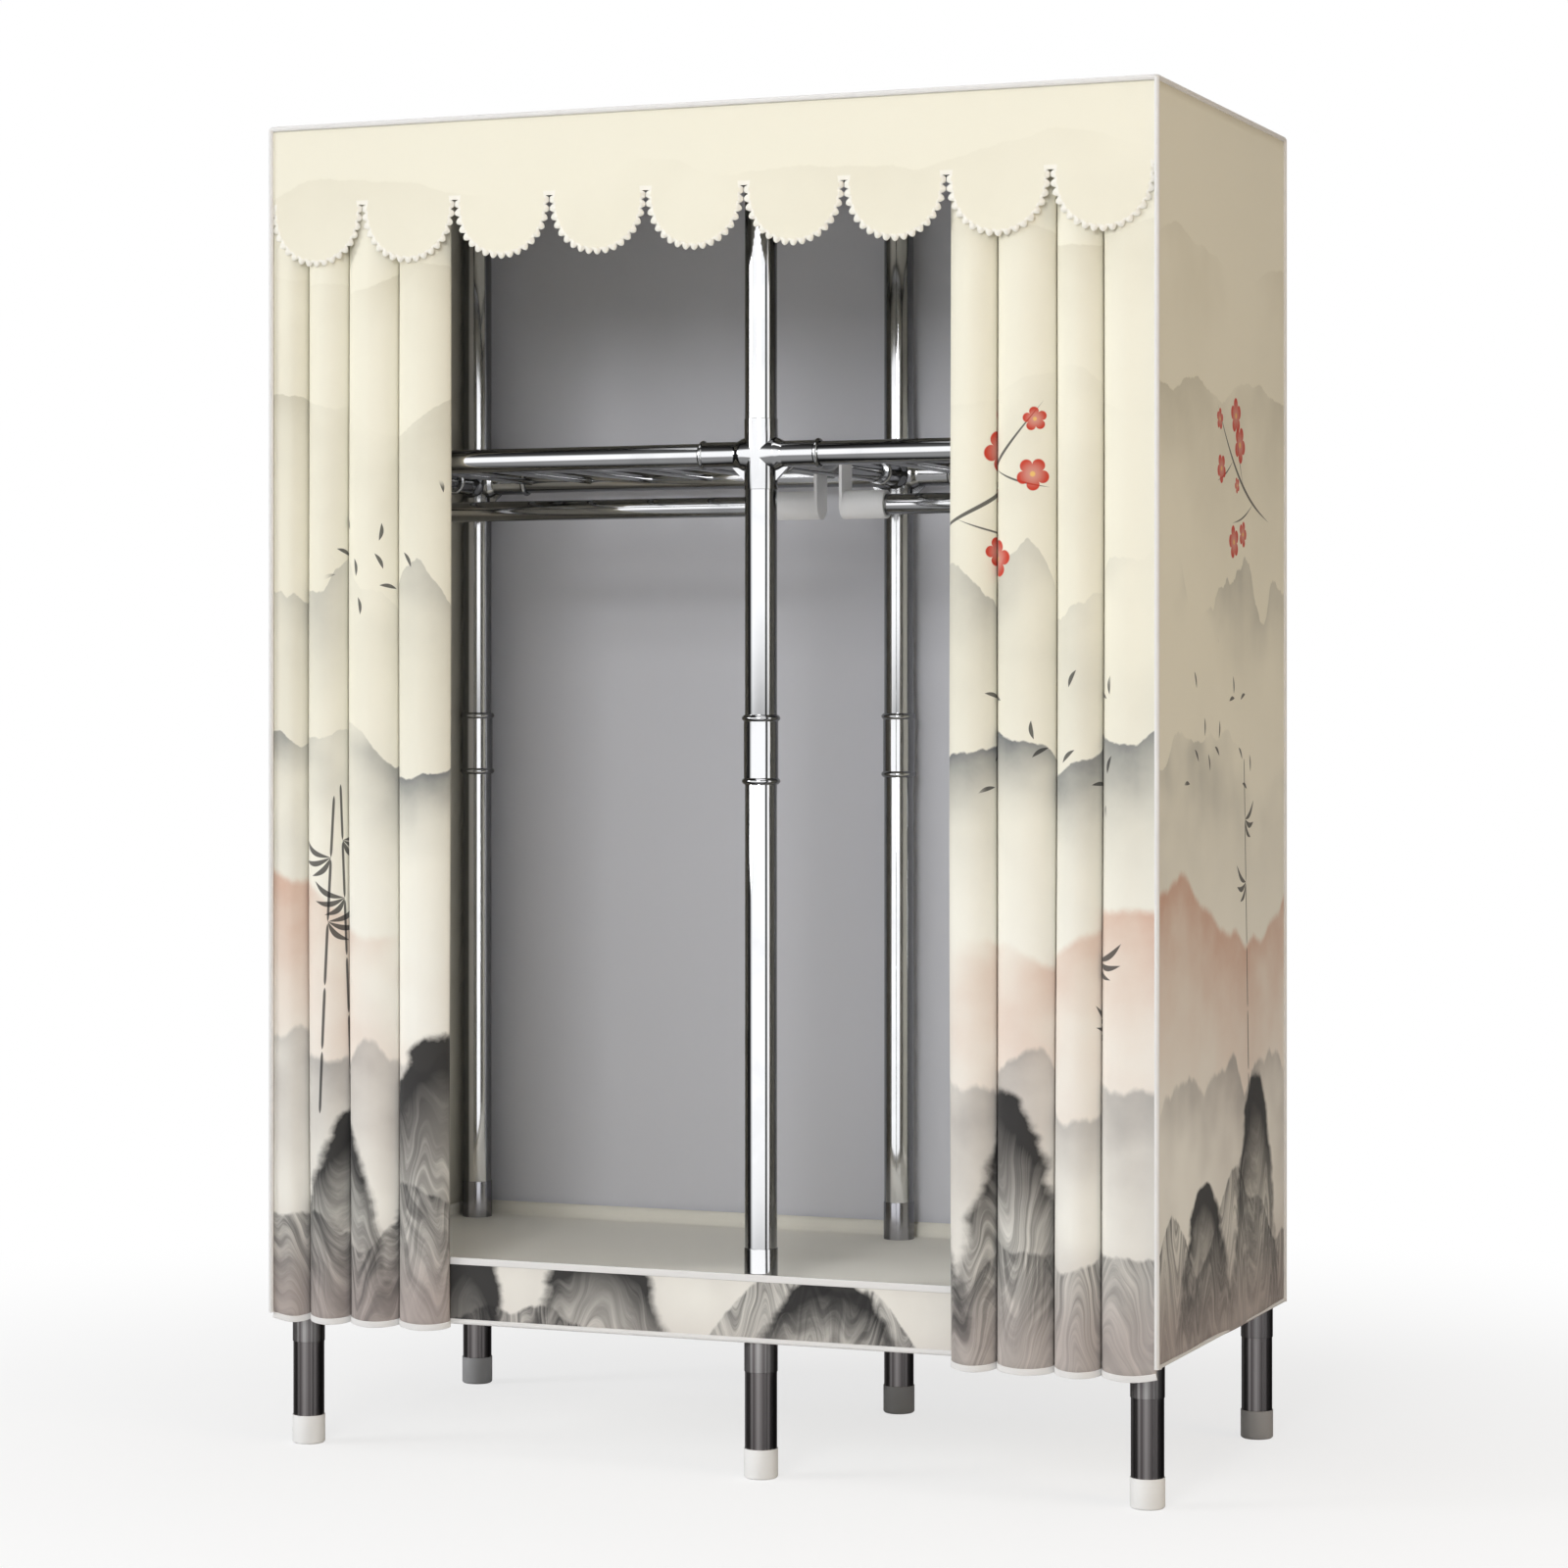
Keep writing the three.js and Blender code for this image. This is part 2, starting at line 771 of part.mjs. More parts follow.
function addCurtains(parent) {
  for (const side of Object.keys(curtainHemHeight)) {
    const curtain = addGroup(parent, [0, curtainFrontY, 0]);
    flutePlan(side).forEach(({ x, width, ringSide }, i) => {
      const geometry = flute(width, curtainHemHeight[side], ringSide);
      addPiece(curtain, `${side}_curtain_fold_${i + 1}`, geometry, "printedCloth", [x, 0, 0]);
    });
  }
  addPiece(parent, "curtain_rod", curtainRod(), "chrome", [0, 0, curtainRodHeight]);
  const clipX = columns.centre - socketReach + socketBeadWidth + seatGap + clipWidth / 2;
  addPiece(parent, "curtain_rod_clip", curtainRodClip(), "capPlastic", [clipX, 0, topRailHeight]);
}

function addCloth(parent) {
  for (const [name, geometry] of Object.entries(coverPanels())) {
    addPiece(parent, name, geometry, name === "cover_back" ? "greyCloth" : "printedCloth");
  }
  addPiece(parent, "valance", valance(), "printedCloth");
  addPiece(parent, "floor_tray", floorTray(), "trayCloth");
}

const frame = addGroup(wardrobe);
addPosts(frame);
addDepthFrames(frame);
addRails(frame);
addHangingRods(frame);
addCurtains(addGroup(wardrobe));
addCloth(addGroup(wardrobe));

export default wardrobe;
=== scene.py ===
"""Portable fabric wardrobe: the looks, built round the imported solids.

The solids give every place and size. This script lays the fine surfaces over them: chromed tubes
and moulded connectors, the printed cloth cover with its piping, the gathered curtains on their
rings, the scalloped valance and the cloth tray. Everything is in metres, +Z up, the front at -Y.
"""

import logging
import math
from collections.abc import Callable, Sequence
from dataclasses import dataclass, field, fields
from enum import Enum

import bmesh
import bpy
import numpy as np
from mathutils import Matrix, Vector
from mathutils.geometry import delaunay_2d_cdt


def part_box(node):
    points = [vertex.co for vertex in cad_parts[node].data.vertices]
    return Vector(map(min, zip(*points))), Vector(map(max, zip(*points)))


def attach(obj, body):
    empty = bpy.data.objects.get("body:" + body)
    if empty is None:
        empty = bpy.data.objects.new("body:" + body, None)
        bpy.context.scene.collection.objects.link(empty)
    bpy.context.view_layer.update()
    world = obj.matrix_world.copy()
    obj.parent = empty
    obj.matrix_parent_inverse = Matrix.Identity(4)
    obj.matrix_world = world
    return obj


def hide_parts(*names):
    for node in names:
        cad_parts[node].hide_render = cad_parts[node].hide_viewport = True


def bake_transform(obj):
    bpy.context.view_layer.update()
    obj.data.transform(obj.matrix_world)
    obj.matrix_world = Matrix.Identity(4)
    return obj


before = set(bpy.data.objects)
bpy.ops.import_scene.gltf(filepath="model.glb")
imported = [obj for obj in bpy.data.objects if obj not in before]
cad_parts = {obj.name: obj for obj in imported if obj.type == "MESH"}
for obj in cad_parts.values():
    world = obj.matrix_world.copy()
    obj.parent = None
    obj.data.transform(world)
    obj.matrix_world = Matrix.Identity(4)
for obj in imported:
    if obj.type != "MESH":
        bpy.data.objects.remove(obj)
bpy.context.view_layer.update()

LOG = logging.getLogger("wardrobe")
MM = 0.001
TURN = 2 * math.pi
COLUMNS = ("left", "centre", "right")
ROWS = ("front", "back")
GAP = 0.3 * MM  # the clearance between a tube and what fits round it
FIT = 0.05 * MM  # how much wider a bore is drawn than its tube, so that no two faces lie in one
OVERRUN = 4 * MM  # how far a cut runs past what it cuts
UP = Vector((0, 0, 1))
ASIDE = Vector((1, 0, 0))
ALONG_X = Matrix.Rotation(math.pi / 2, 4, "Y")
ALONG_Y = Matrix.Rotation(-math.pi / 2, 4, "X")

Colour = tuple[float, float, float, float]
Point = tuple[float, float, float]
Flat = tuple[float, float]


class Slot(Enum):
    """The record's material slots."""

    TUBE = "tube_chrome"
    CONNECTOR = "connector_chrome"
    CAP = "cap_plastic"
    CUP = "cup_plastic"
    CURTAIN = "curtain_cloth"
    COVER = "cover_cloth"
    BACK = "back_cloth"
    TRAY = "tray_cloth"


def linear(code: str) -> Colour:
    """Turns a colour written as #RRGGBB into the linear colour that shaders take.

    Args:
        code: The colour as it looks on a screen.

    Returns:
        Red, green, blue and alpha.
    """
    screen = [int(code[i : i + 2], 16) / 255 for i in (1, 3, 5)]
    red, green, blue = [c / 12.92 if c <= 0.04045 else ((c + 0.055) / 1.055) ** 2.4 for c in screen]
    return red, green, blue, 1.0


def middle(node: str) -> Vector:
    """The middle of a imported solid's box."""
    low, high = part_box(node)
    return (low + high) / 2


def half_size(node: str) -> Vector:
    """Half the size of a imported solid's box."""
    low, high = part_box(node)
    return (high - low) / 2


@dataclass(frozen=True)
class Layout:
    """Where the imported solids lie."""

    low: Vector  # the lowest corner of the cover's top
    high: Vector  # its highest corner
    hem: float  # the height of the cover's hem
    cloth: float  # the thickness of the cloth
    columns: dict[str, float]  # the X of each column of posts
    rows: dict[str, float]  # the Y of each row of posts
    levels: dict[str, float]  # the height of the rails at each level
    post_radius: float  # the radius of a post
    rail_radius: float  # the radius of a rail


def read_layout() -> Layout:
    """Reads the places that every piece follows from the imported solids.

    Returns:
        The layout of the frame and the cover.
    """
    low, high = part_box("cover_top")
    rails = {"bottom": "bottom_rail_left_front", "shelf": "cross_connector", "top": "top_rail_left_front"}
    return Layout(
        low=low,
        high=high,
        hem=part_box("cover_left")[0].z,
        cloth=high.z - low.z,
        columns={column: middle(f"upper_post_{column}_front").x for column in COLUMNS},
        rows={row: middle(f"upper_post_left_{row}").y for row in ROWS},
        levels={level: middle(node).z for level, node in rails.items()},
        post_radius=max(half_size("upper_post_left_front").xy),
        rail_radius=max(half_size("bottom_rail_left_front").yz),
    )


LAYOUT = read_layout()
BAYS = {
    "left": (LAYOUT.columns["left"], LAYOUT.columns["centre"]),
    "right": (LAYOUT.columns["centre"], LAYOUT.columns["right"]),
}


class Signal:
    """A value inside a node tree, which can be added, multiplied and shaped like a number."""

    def __init__(self, tree: bpy.types.NodeTree, socket: bpy.types.NodeSocket) -> None:
        """Wraps one output socket of a node tree."""
        self.tree = tree
        self.socket = socket

    def math(self, operation: str, *others: "Signal | float") -> "Signal":
        """The result of a Math node's operation on this value and others."""
        node = add_node(self.tree, "Math", dict(enumerate((self, *others))), operation=operation)
        return Signal(self.tree, node.outputs[0])

    def __add__(self, other: "Signal | float") -> "Signal":
        """The sum."""
        return self.math("ADD", other)

    def __sub__(self, other: "Signal | float") -> "Signal":
        """The difference."""
        return self.math("SUBTRACT", other)

    def __rsub__(self, other: float) -> "Signal":
        """A number less this value."""
        return self.math("MULTIPLY_ADD", -1.0, other)

    def __mul__(self, other: "Signal | float") -> "Signal":
        """The product."""
        return self.math("MULTIPLY", other)

    def __truediv__(self, other: "Signal | float") -> "Signal":
        """The quotient."""
        return self.math("DIVIDE", other)

    def size(self) -> "Signal":
        """The value without its sign."""
        return self.math("ABSOLUTE")

    def at_least(self, least: float) -> "Signal":
        """The value, or a number where the value is less."""
        return self.math("MAXIMUM", least)

    def at_most(self, most: float) -> "Signal":
        """The value, or a number where the value is more."""
        return self.math("MINIMUM", most)

    def step(self, low: "Signal | float", high: "Signal | float") -> "Signal":
        """Rises smoothly from 0 at low to 1 at high.

        Args:
            low: Where the rise starts.
            high: Where it ends.

        Returns:
            The share from 0 to 1.
        """
        ends = {"Value": self, "From Min": low, "From Max": high}
        node = add_node(self.tree, "MapRange", ends, interpolation_type="SMOOTHSTEP")
        return Signal(self.tree, node.outputs["Result"])

    def parts(self) -> "tuple[Signal, Signal, Signal]":
        """The three values of a vector."""
        outputs = add_node(self.tree, "SeparateXYZ", {0: self}).outputs
        return tuple(Signal(self.tree, output) for output in outputs)

    def noise(
        self, scale: "Signal | float", detail: float = 2.0, along_line: bool = False, **values: float
    ) -> "Signal":
        """Smooth noise from 0 to 1, read at this place.

        Args:
            scale: Its frequency.
            detail: How many finer layers it has.
            along_line: Whether this place is one value along a line, and not a vector.
            values: Other inputs of the Noise node, by name.

        Returns:
            The noise.
        """
        inputs = {"W" if along_line else "Vector": self, "Scale": scale, "Detail": detail, **values}
        node = add_node(self.tree, "TexNoise", inputs, noise_dimensions="1D" if along_line else "3D")
        return Signal(self.tree, node.outputs[0])

    def mixed(self, under: "Signal | Colour", over: "Signal | Colour") -> "Signal":
        """Two colours mixed by this share: at 0 the first shows, and at 1 the one laid over it."""
        node = add_node(self.tree, "Mix", {"Factor": self, 6: under, 7: over}, data_type="RGBA")
        return Signal(self.tree, node.outputs[2])


def feed(socket: bpy.types.NodeSocket, value: Signal | Colour | float) -> None:
    """Links a signal into an input, or sets the input to a plain value.

    Args:
        socket: The input.
        value: What goes into it.
    """
    if isinstance(value, Signal):
        value.tree.links.new(value.socket, socket)
    else:
        socket.default_value = value


def add_node(
    tree: bpy.types.NodeTree, kind: str, inputs: dict[str | int, Signal | Colour | float], **settings: object
) -> bpy.types.Node:
    """Makes a shader node.

    Args:
        tree: Where it goes.
        kind: The last part of its type's name.
        inputs: What goes into its inputs, by their names or numbers.
        settings: Its own settings.

    Returns:
        The node.
    """
    node = tree.nodes.new(f"ShaderNode{kind}")
    for name, value in settings.items():
        setattr(node, name, value)
    for name, value in inputs.items():
        feed(node.inputs[name], value)
    return node


def read_from(tree: bpy.types.NodeTree, kind: str, output: str, **settings: str) -> Signal:
    """One output of a node that reads the piece or the light."""
    return Signal(tree, add_node(tree, kind, {}, **settings).outputs[output])


def joined(x: Signal, y: Signal, z: Signal | float = 0.0) -> Signal:
    """A vector of three values."""
    return Signal(x.tree, add_node(x.tree, "CombineXYZ", {0: x, 1: y, 2: z}).outputs[0])


def leaning(across: Signal, up: Signal, angle: Signal) -> tuple[Signal, Signal]:
    """How far a place is along a line that leans at an angle, and how far beside it."""
    cosine, sine = angle.math("COSINE"), angle.math("SINE")
    return across * cosine + up * sine, up * cosine - across * sine


def emptied(owner: bpy.types.Material | bpy.types.World) -> bpy.types.NodeTree:
    """The node tree of a material or a world, cleared.

    Args:
        owner: The material or the world.

    Returns:
        Its tree.
    """
    owner.use_nodes = True
    owner.node_tree.nodes.clear()
    return owner.node_tree


class Effect:
    """A shader node group with named inputs and outputs, built once and placed in many materials."""

    def __init__(self, name: str, spot: str, outputs: Sequence[str], **values: float) -> None:
        """Makes the empty group.

        Args:
            name: The group's name.
            spot: The name of its first input, the place where it is read.
            outputs: The names of its outputs. Colour is a colour, and the others are numbers.
            values: The usual values of its other inputs, by name.
        """
        self.tree = bpy.data.node_groups.new(name, "ShaderNodeTree")
        self.values = values
        new_socket = self.tree.interface.new_socket
        new_socket(spot, in_out="INPUT", socket_type="NodeSocketVector")
        for label, value in values.items():
            new_socket(label, in_out="INPUT", socket_type="NodeSocketFloat").default_value = value
        for label in outputs:
            kind = "NodeSocketColor" if label == "Colour" else "NodeSocketFloat"
            new_socket(label, in_out="OUTPUT", socket_type=kind)
        self.entry = self.tree.nodes.new("NodeGroupInput")
        self.exit = self.tree.nodes.new("NodeGroupOutput")
        self.spot = self[spot]

    def __getitem__(self, name: str) -> Signal:
        """One of the inputs, inside the group."""
        return Signal(self.tree, self.entry.outputs[name])

    def send(self, **values: Signal) -> None:
        """Puts values out of the group."""
        for name, value in values.items():
            feed(self.exit.inputs[name], value)

    def place(self, spot: Signal, **values: Signal | float) -> dict[str, Signal]:
        """Reads the group at a place, with some of its values changed, and gives its outputs by name."""
        node = add_node(spot.tree, "Group", {0: spot, **values}, node_tree=self.tree)
        return {output.name: Signal(spot.tree, output) for output in node.outputs}

    def draw(self, spot: Signal, mark: "Ridge | Mound | Stroke | Blossom") -> dict[str, Signal]:
        """Reads the group for one printed mark, whose fields are named like the group's inputs."""
        sizes = {entry.name.capitalize(): getattr(mark, entry.name) for entry in fields(mark)}
        return self.place(spot, **{name: size for name, size in sizes.items() if name in self.values})


class ThreadWeave(Effect):
    """Crossed threads, in metres of cloth, as a height from 0 to 1."""

    def __init__(self) -> None:
        """Builds the group."""
        super().__init__("thread_weave", "Cloth", ("Height",), Pitch=0.0007)
        u, v, _ = self.spot.parts()
        warp, weft = ((axis * TURN / self["Pitch"]).math("SINE") for axis in (u, v))
        self.send(Height=warp * weft * 0.35 + self.spot.noise(900.0) * 0.5)


class SoftCreases(Effect):
    """Soft hand-sized creases of hanging cloth, as a height from 0 to 1."""

    def __init__(self) -> None:
        """Builds the group."""
        super().__init__("soft_creases", "Cloth", ("Height",), Across=5.0, Along=1.6)
        u, v, _ = self.spot.parts()
        stretched = joined(u * self["Across"], v * self["Along"])
        broad, fine = stretched.noise(1.0, 3.0, Distortion=0.6), stretched.noise(5.0, 3.0, Distortion=0.3)
        self.send(Height=broad * 0.8 + fine * 0.2)


class MetalWear(Effect):
    """Smudges and fine lengthwise scratches on metal, as two masks."""

    def __init__(self) -> None:
        """Builds the group."""
        super().__init__("metal_wear", "Place", ("Smudge", "Scratch"), Fineness=900.0)
        x, y, z = self.spot.parts()
        drawn = joined(x, y, z * 0.02)
        self.send(
            Smudge=self.spot.noise(9.0, 5.0, Distortion=0.8).step(0.42, 0.78),
            Scratch=drawn.noise(self["Fineness"]).step(0.62, 0.76),
        )


class MouldedGrain(Effect):
    """The fine grain and faint mottle of moulded plastic."""

    def __init__(self) -> None:
        """Builds the group."""
        super().__init__("moulded_grain", "Place", ("Height", "Mottle"), Fineness=1500.0)
        self.send(Height=self.spot.noise(self["Fineness"]), Mottle=self.spot.noise(14.0, 4.0))


class RidgeWash(Effect):
    """A wash of ink under a ridge line: dark at the line, fading below it."""

    def __init__(self) -> None:
        """Builds the group."""
        sizes = {"Height": 0.5, "Rise": 0.1, "Frequency": 3.0, "Seed": 0.0, "Fade": 0.2, "Edge": 0.003}
        super().__init__("ridge_wash", "Cloth", ("Mask",), **sizes)
        u, v, _ = self.spot.parts()
        outline = (u * self["Frequency"] + self["Seed"]).noise(1.0, 5.0, along_line=True, Roughness=0.42)
        bleed = self.spot.noise(160.0) * 0.004
        below = (outline - 0.5) * 2.0 * self["Rise"] + self["Height"] + bleed - v
        left = (below.at_least(0.0) / self["Fade"] * -1.0).math("EXPONENT")
        self.send(Mask=below.step(0.0, self["Edge"]) * left)


class InkMarbling(Effect):
    """Streaks of ink that run down the cloth in pointed arches, from 0 to 1."""

    def __init__(self) -> None:
        """Builds the group."""
        super().__init__("ink_marbling", "Cloth", ("Streaks",), Width=26.0)
        u, v, _ = self.spot.parts()
        width = self["Width"]
        peaks = (u * width * 0.5 + self.spot.noise(6.0)).noise(1.0, 1.0, along_line=True)
        arched = joined(u * width * 0.4, (v - peaks * 0.42) * width * 1.5)
        self.send(Streaks=arched.noise(1.0, 6.0, Roughness=0.60, Distortion=0.35))


class InkMound(Effect):
    """A lone mound of wet ink: near black at its top, running down into pale marbled streaks."""

    def __init__(self, marbling: Effect) -> None:
        """Builds the group.

        Args:
            marbling: The streaks in its ink.
        """
        super().__init__(
            "ink_mound", "Cloth", ("Mask",), X=0.2, Top=0.4, Width=0.06, Height=0.3, Point=0.6, Seed=0.0
        )
        u, v, _ = self.spot.parts()
        fall = (self["Top"] - v) / self["Height"]
        rough = (v * 14.0 + self["Seed"]).noise(1.0, 4.0, along_line=True) - 0.5
        bleed = self.spot.noise(34.0, 5.0, Roughness=0.55) - 0.5
        reach = fall.at_least(0.0).math("POWER", self["Point"]) * self["Width"] * (rough * 0.5 + 1.0)
        aside = (u - self["X"] + rough * 0.012).size()
        inside = (reach - aside + bleed * 0.022).step(-0.005, 0.014) * (1.0 - fall.step(0.7, 1.05))
        inside = inside * (fall + bleed * 0.08).step(0.0, 0.05)
        streaks = marbling.place(joined(u + self["Seed"], v))["Streaks"]
        rim = (aside / reach.at_least(0.001)).math("POWER", 2.0) * 0.35
        gaps = streaks.step(0.35, 0.75) * fall.step(0.05, 0.7) * 0.55
        ink = (fall * -1.25).math("EXPONENT") * 1.15 + rim - gaps
        self.send(Mask=(inside * ink).at_least(0.0).at_most(0.97))


class BrushStroke(Effect):
    """One tapered brush stroke from a point, with a bow in it, as a mask. Its angle is in degrees."""

    def __init__(self) -> None:
        """Builds the group."""
        sizes = {"X": 0.0, "Y": 0.0, "Length": 0.1, "Width": 0.004, "Angle": 0.0, "Bow": 0.0, "Blunt": 2.0}
        super().__init__("brush_stroke", "Cloth", ("Mask",), **sizes)
        u, v, _ = self.spot.parts()
        reach, offset = leaning(u - self["X"], v - self["Y"], self["Angle"].math("RADIANS"))
        along = reach / self["Length"]
        aside = offset - (along * math.pi).math("SINE") * self["Bow"]
        taper = (1.0 - (along * 2.0 - 1.0).size().math("POWER", self["Blunt"])).at_least(0.0)
        inside = self["Width"] * taper - aside.size()
        self.send(Mask=inside.step(-0.0004, 0.0006) * taper.step(0.0, 0.02))


class FivePetals(Effect):
    """A five-petalled blossom: its petals, and the heart in its middle. Its angle is in degrees."""

    def __init__(self) -> None:
        """Builds the group."""
        super().__init__("blossom", "Cloth", ("Petals", "Heart"), X=0.0, Y=0.0, Size=0.015, Angle=0.0)
        u, v, _ = self.spot.parts()
        across, up = u - self["X"], v - self["Y"]
        reach = (across * across + up * up).math("SQRT") / self["Size"]
        petal = ((up.math("ARCTAN2", across) + self["Angle"].math("RADIANS")) * 2.5).math("COSINE").size()
        outline = petal.math("POWER", 0.55) * 0.42 + 0.58
        wash = reach.step(0.1, 1.0) * 0.35 + 0.65
        self.send(Petals=(outline - reach).step(0.0, 0.08) * wash, Heart=1.0 - reach.step(0.1, 0.2))


class DriftingLeaves(Effect):
    """Small leaves adrift, one to a cell, as a mask."""

    def __init__(self) -> None:
        """Builds the group."""
        super().__init__(
            "drifting_leaves", "Cloth", ("Mask",), Cell=0.05, Length=0.012, Width=0.0028, Share=0.6
        )
        spacing = {"Vector": self.spot, "Scale": self["Cell"].math("POWER", -1.0)}
        cells = add_node(self.tree, "TexVoronoi", spacing, voronoi_dimensions="2D").outputs
        u, v, _ = self.spot.parts()
        spot_u, spot_v, _ = Signal(self.tree, cells["Position"]).parts()
        chance, lean, _ = Signal(self.tree, cells["Color"]).parts()
        reach, offset = leaning(u - spot_u, v - spot_v, lean * 2.4 - 1.9)
        along = reach / self["Length"]
        aside = offset + along * along * 0.002
        inside = self["Width"] * (1.0 - along * along).at_least(0.0) - aside.size()
        kept = 1.0 - chance.step(self["Share"] - 0.01, self["Share"])
        self.send(Mask=inside.step(0.0, 0.0006) * kept)


@dataclass(frozen=True)
class Ridge:
    """One ridge of the printed hills."""

    height: float  # its usual height above the hem
    rise: float  # how far its line rises and falls
    frequency: float  # how many rises it has to a metre
    seed: float  # which stretch of noise draws it
    fade: float  # how far down its wash reaches
    colour: str  # the colour of its ink
    strength: float  # how dense the ink is at its line
    edge: float = 0.003  # how soft the line is


RIDGES = (
    Ridge(1.34, 0.09, 2.2, 3.1, 0.10, "#CFC8B2", 0.42),
    Ridge(1.17, 0.10, 2.9, 11.7, 0.12, "#BDB8A6", 0.55),
    Ridge(0.93, 0.13, 6.5, 23.4, 0.10, "#A3A29B", 0.60),
    Ridge(0.74, 0.10, 4.6, 31.9, 0.07, "#63686D", 0.86),
    Ridge(0.53, 0.13, 3.0, 42.6, 0.16, "#C98B6C", 0.66, 0.014),
    Ridge(0.33, 0.12, 5.6, 57.3, 0.16, "#7F8284", 0.62, 0.010),
)
ROCKS = Ridge(0.13, 0.12, 4.2, 66.8, 0.16, "#3A3A3D", 0.92, 0.006)


class Palette:
    """The colours of the print, and those that wear, painted shade and painted reflection mix into a finish.
    """

    CREAM = "#F2EEDC"
    MIST = "#F6F4EC"
    MAUVE = "#8C7170"
    VERMILION = "#C8331B"
    INK = "#1F1F22"
    HEART = "#F0C86A"
    SEAM = "#8F8C82"
    THREAD = "#8D887B"
    SMUDGE = "#A9AAAE"
    STREAK = "#736D6E"
    RIM = "#101012"
    # painted reflection: the dark rim that metal is painted with where it turns away from the eye
    MOTTLE = "#77777A"


class MistyHills(Effect):
    """Misty hills in ink wash over a cream ground, with marbled rocks low down, as a colour."""

    def __init__(self, ridge: Effect, marbling: Effect) -> None:
        """Builds the group.

        Args:
            ridge: The wash under one ridge line.
            marbling: The streaks in the rocks' ink.
        """
        super().__init__("misty_hills", "Cloth", ("Colour",), Rocks=1.0, Wash=1.0)
        spot, rocks = self.spot, self["Rocks"]
        _, v, _ = spot.parts()
        colour = v.step(0.25, 0.9).mixed(linear(Palette.MIST), linear(Palette.CREAM))
        cloud = spot.noise(3.2, 3.0).step(0.34, 0.62) * 1.1 * (spot.noise(17.0, 4.0) * 0.8 + 0.55)
        for hill in RIDGES:
            density = ridge.draw(spot, hill)["Mask"] * cloud * self["Wash"] * hill.strength
            colour = density.at_most(1.0).mixed(colour, linear(hill.colour))
        body = 1.0 - marbling.place(spot)["Streaks"].step(0.32, 0.70) * 0.85
        density = ridge.draw(spot, ROCKS)["Mask"] * body * rocks * ROCKS.strength
        colour = ((1.0 - v.step(0.02, 0.16)) * rocks * 0.6).mixed(colour, linear(Palette.MAUVE))
        self.send(Colour=density.at_most(1.0).mixed(colour, linear(ROCKS.colour)))


@dataclass(frozen=True)
class Stroke:
    """One brush stroke of a printed motif."""

    x: float  # where it starts, across the cloth
    y: float  # where it starts, above the hem
    length: float
    width: float  # its half width
    angle: float  # its angle, in degrees
    bow: float = 0.0  # how far it bows aside
    blunt: float = 2.0  # how blunt its ends are


@dataclass(frozen=True)
class Blossom:
    """One printed blossom: its middle, its radius and its turn in degrees."""

    x: float
    y: float
    size: float
    angle: float


@dataclass(frozen=True)
class Mound:
    """One mound of wet ink."""

    x: float  # its middle, across the cloth
    top: float  # the height of its top above the hem
    width: float  # its half width at its foot
    height: float
    point: float  # how pointed it is: 0.1 is a block, 0.4 a dome and 1.0 a cone
    seed: float  # which stretch of noise roughens it


@dataclass(frozen=True)
class Motifs:
    """What is printed over the hills on one piece of cloth."""

    strokes: tuple[Stroke, ...] = ()  # in ink
    blossoms: tuple[Blossom, ...] = ()  # in vermilion
    # The middle and half size of a patch of drifting leaves
    leaves: tuple[float, float, float, float] | None = None
    mounds: tuple[Mound, ...] = ()  # in ink


def sprig(x: float, y: float, size: float, lean: float) -> Motifs:
    """A flowering sprig: a bowed branch, three twigs and blossoms along them.

    Args:
        x: Where the branch starts, across the cloth.
        y: Where the branch starts, above the hem.
        size: The branch's length.
        lean: The branch's angle, in degrees.

    Returns:
        Its strokes and blossoms.
    """
    bow = 0.10 * size
    cosine, sine = math.cos(math.radians(lean)), math.sin(math.radians(lean))

    def along(share: float, aside: float = 0.0) -> Flat:
        """The place at a share of the branch, and a share of its length beside it."""
        reach, offset = share * size, aside * size + bow * math.sin(math.pi * share)
        return x + reach * cosine - offset * sine, y + reach * sine + offset * cosine

    twigs = tuple(
        Stroke(*along(share), length * size, 0.0013, lean + turn, 0.05 * length * size)
        for share, length, turn in ((0.28, 0.36, 46.0), (0.46, 0.34, -38.0), (0.66, 0.27, 52.0))
    )
    places = (
        (0.36, 0.20), (0.47, 0.30), (0.60, -0.13), (0.72, -0.19), (0.80, 0.16), (0.93, 0.02), (0.55, 0.05),
    )
    flowers = tuple(
        Blossom(*along(*place), (0.062 + 0.026 * math.sin(7.0 * i)) * size, 41.0 * i)
        for i, place in enumerate(places)
    )
    return Motifs((Stroke(x, y, size, 0.0026, lean, bow), *twigs), flowers)


def bamboo(x: float, foot: float, joints: int, pitch: float, lean: float) -> Motifs:
    """A bamboo cane of jointed strokes, with fans of leaves at its upper joints.

    Args:
        x: Where the cane stands, across the cloth.
        foot: How far its foot is above the hem.
        joints: How many joints it has.
        pitch: The length between two joints.
        lean: The cane's angle from upright, in degrees.

    Returns:
        Its strokes.
    """
    angle = 90.0 - lean
    across, up = math.cos(math.radians(angle)), math.sin(math.radians(angle))
    strokes = []
    for i in range(joints):
        start = x + i * pitch * across, foot + i * pitch * up
        strokes.append(Stroke(*start, pitch * 0.97, 0.0021 - 0.0001 * i, angle, blunt=12.0))
        if i > joints // 2:
            side = 1 if i % 2 else -1
            strokes += [
                Stroke(*start, pitch * (0.62 - 0.08 * k), 0.0036, 90 - side * (62 + 34 * k), -side * 0.006)
                for k in range(3)
            ]
    return Motifs(tuple(strokes))


def together(
    *parts: Motifs, leaves: tuple[float, float, float, float] | None = None, mounds: Sequence[Mound] = ()
) -> Motifs:
    """Puts several motifs on one piece of cloth."""
    strokes = tuple(stroke for part in parts for stroke in part.strokes)
    return Motifs(strokes, tuple(flower for part in parts for flower in part.blossoms), leaves, tuple(mounds))


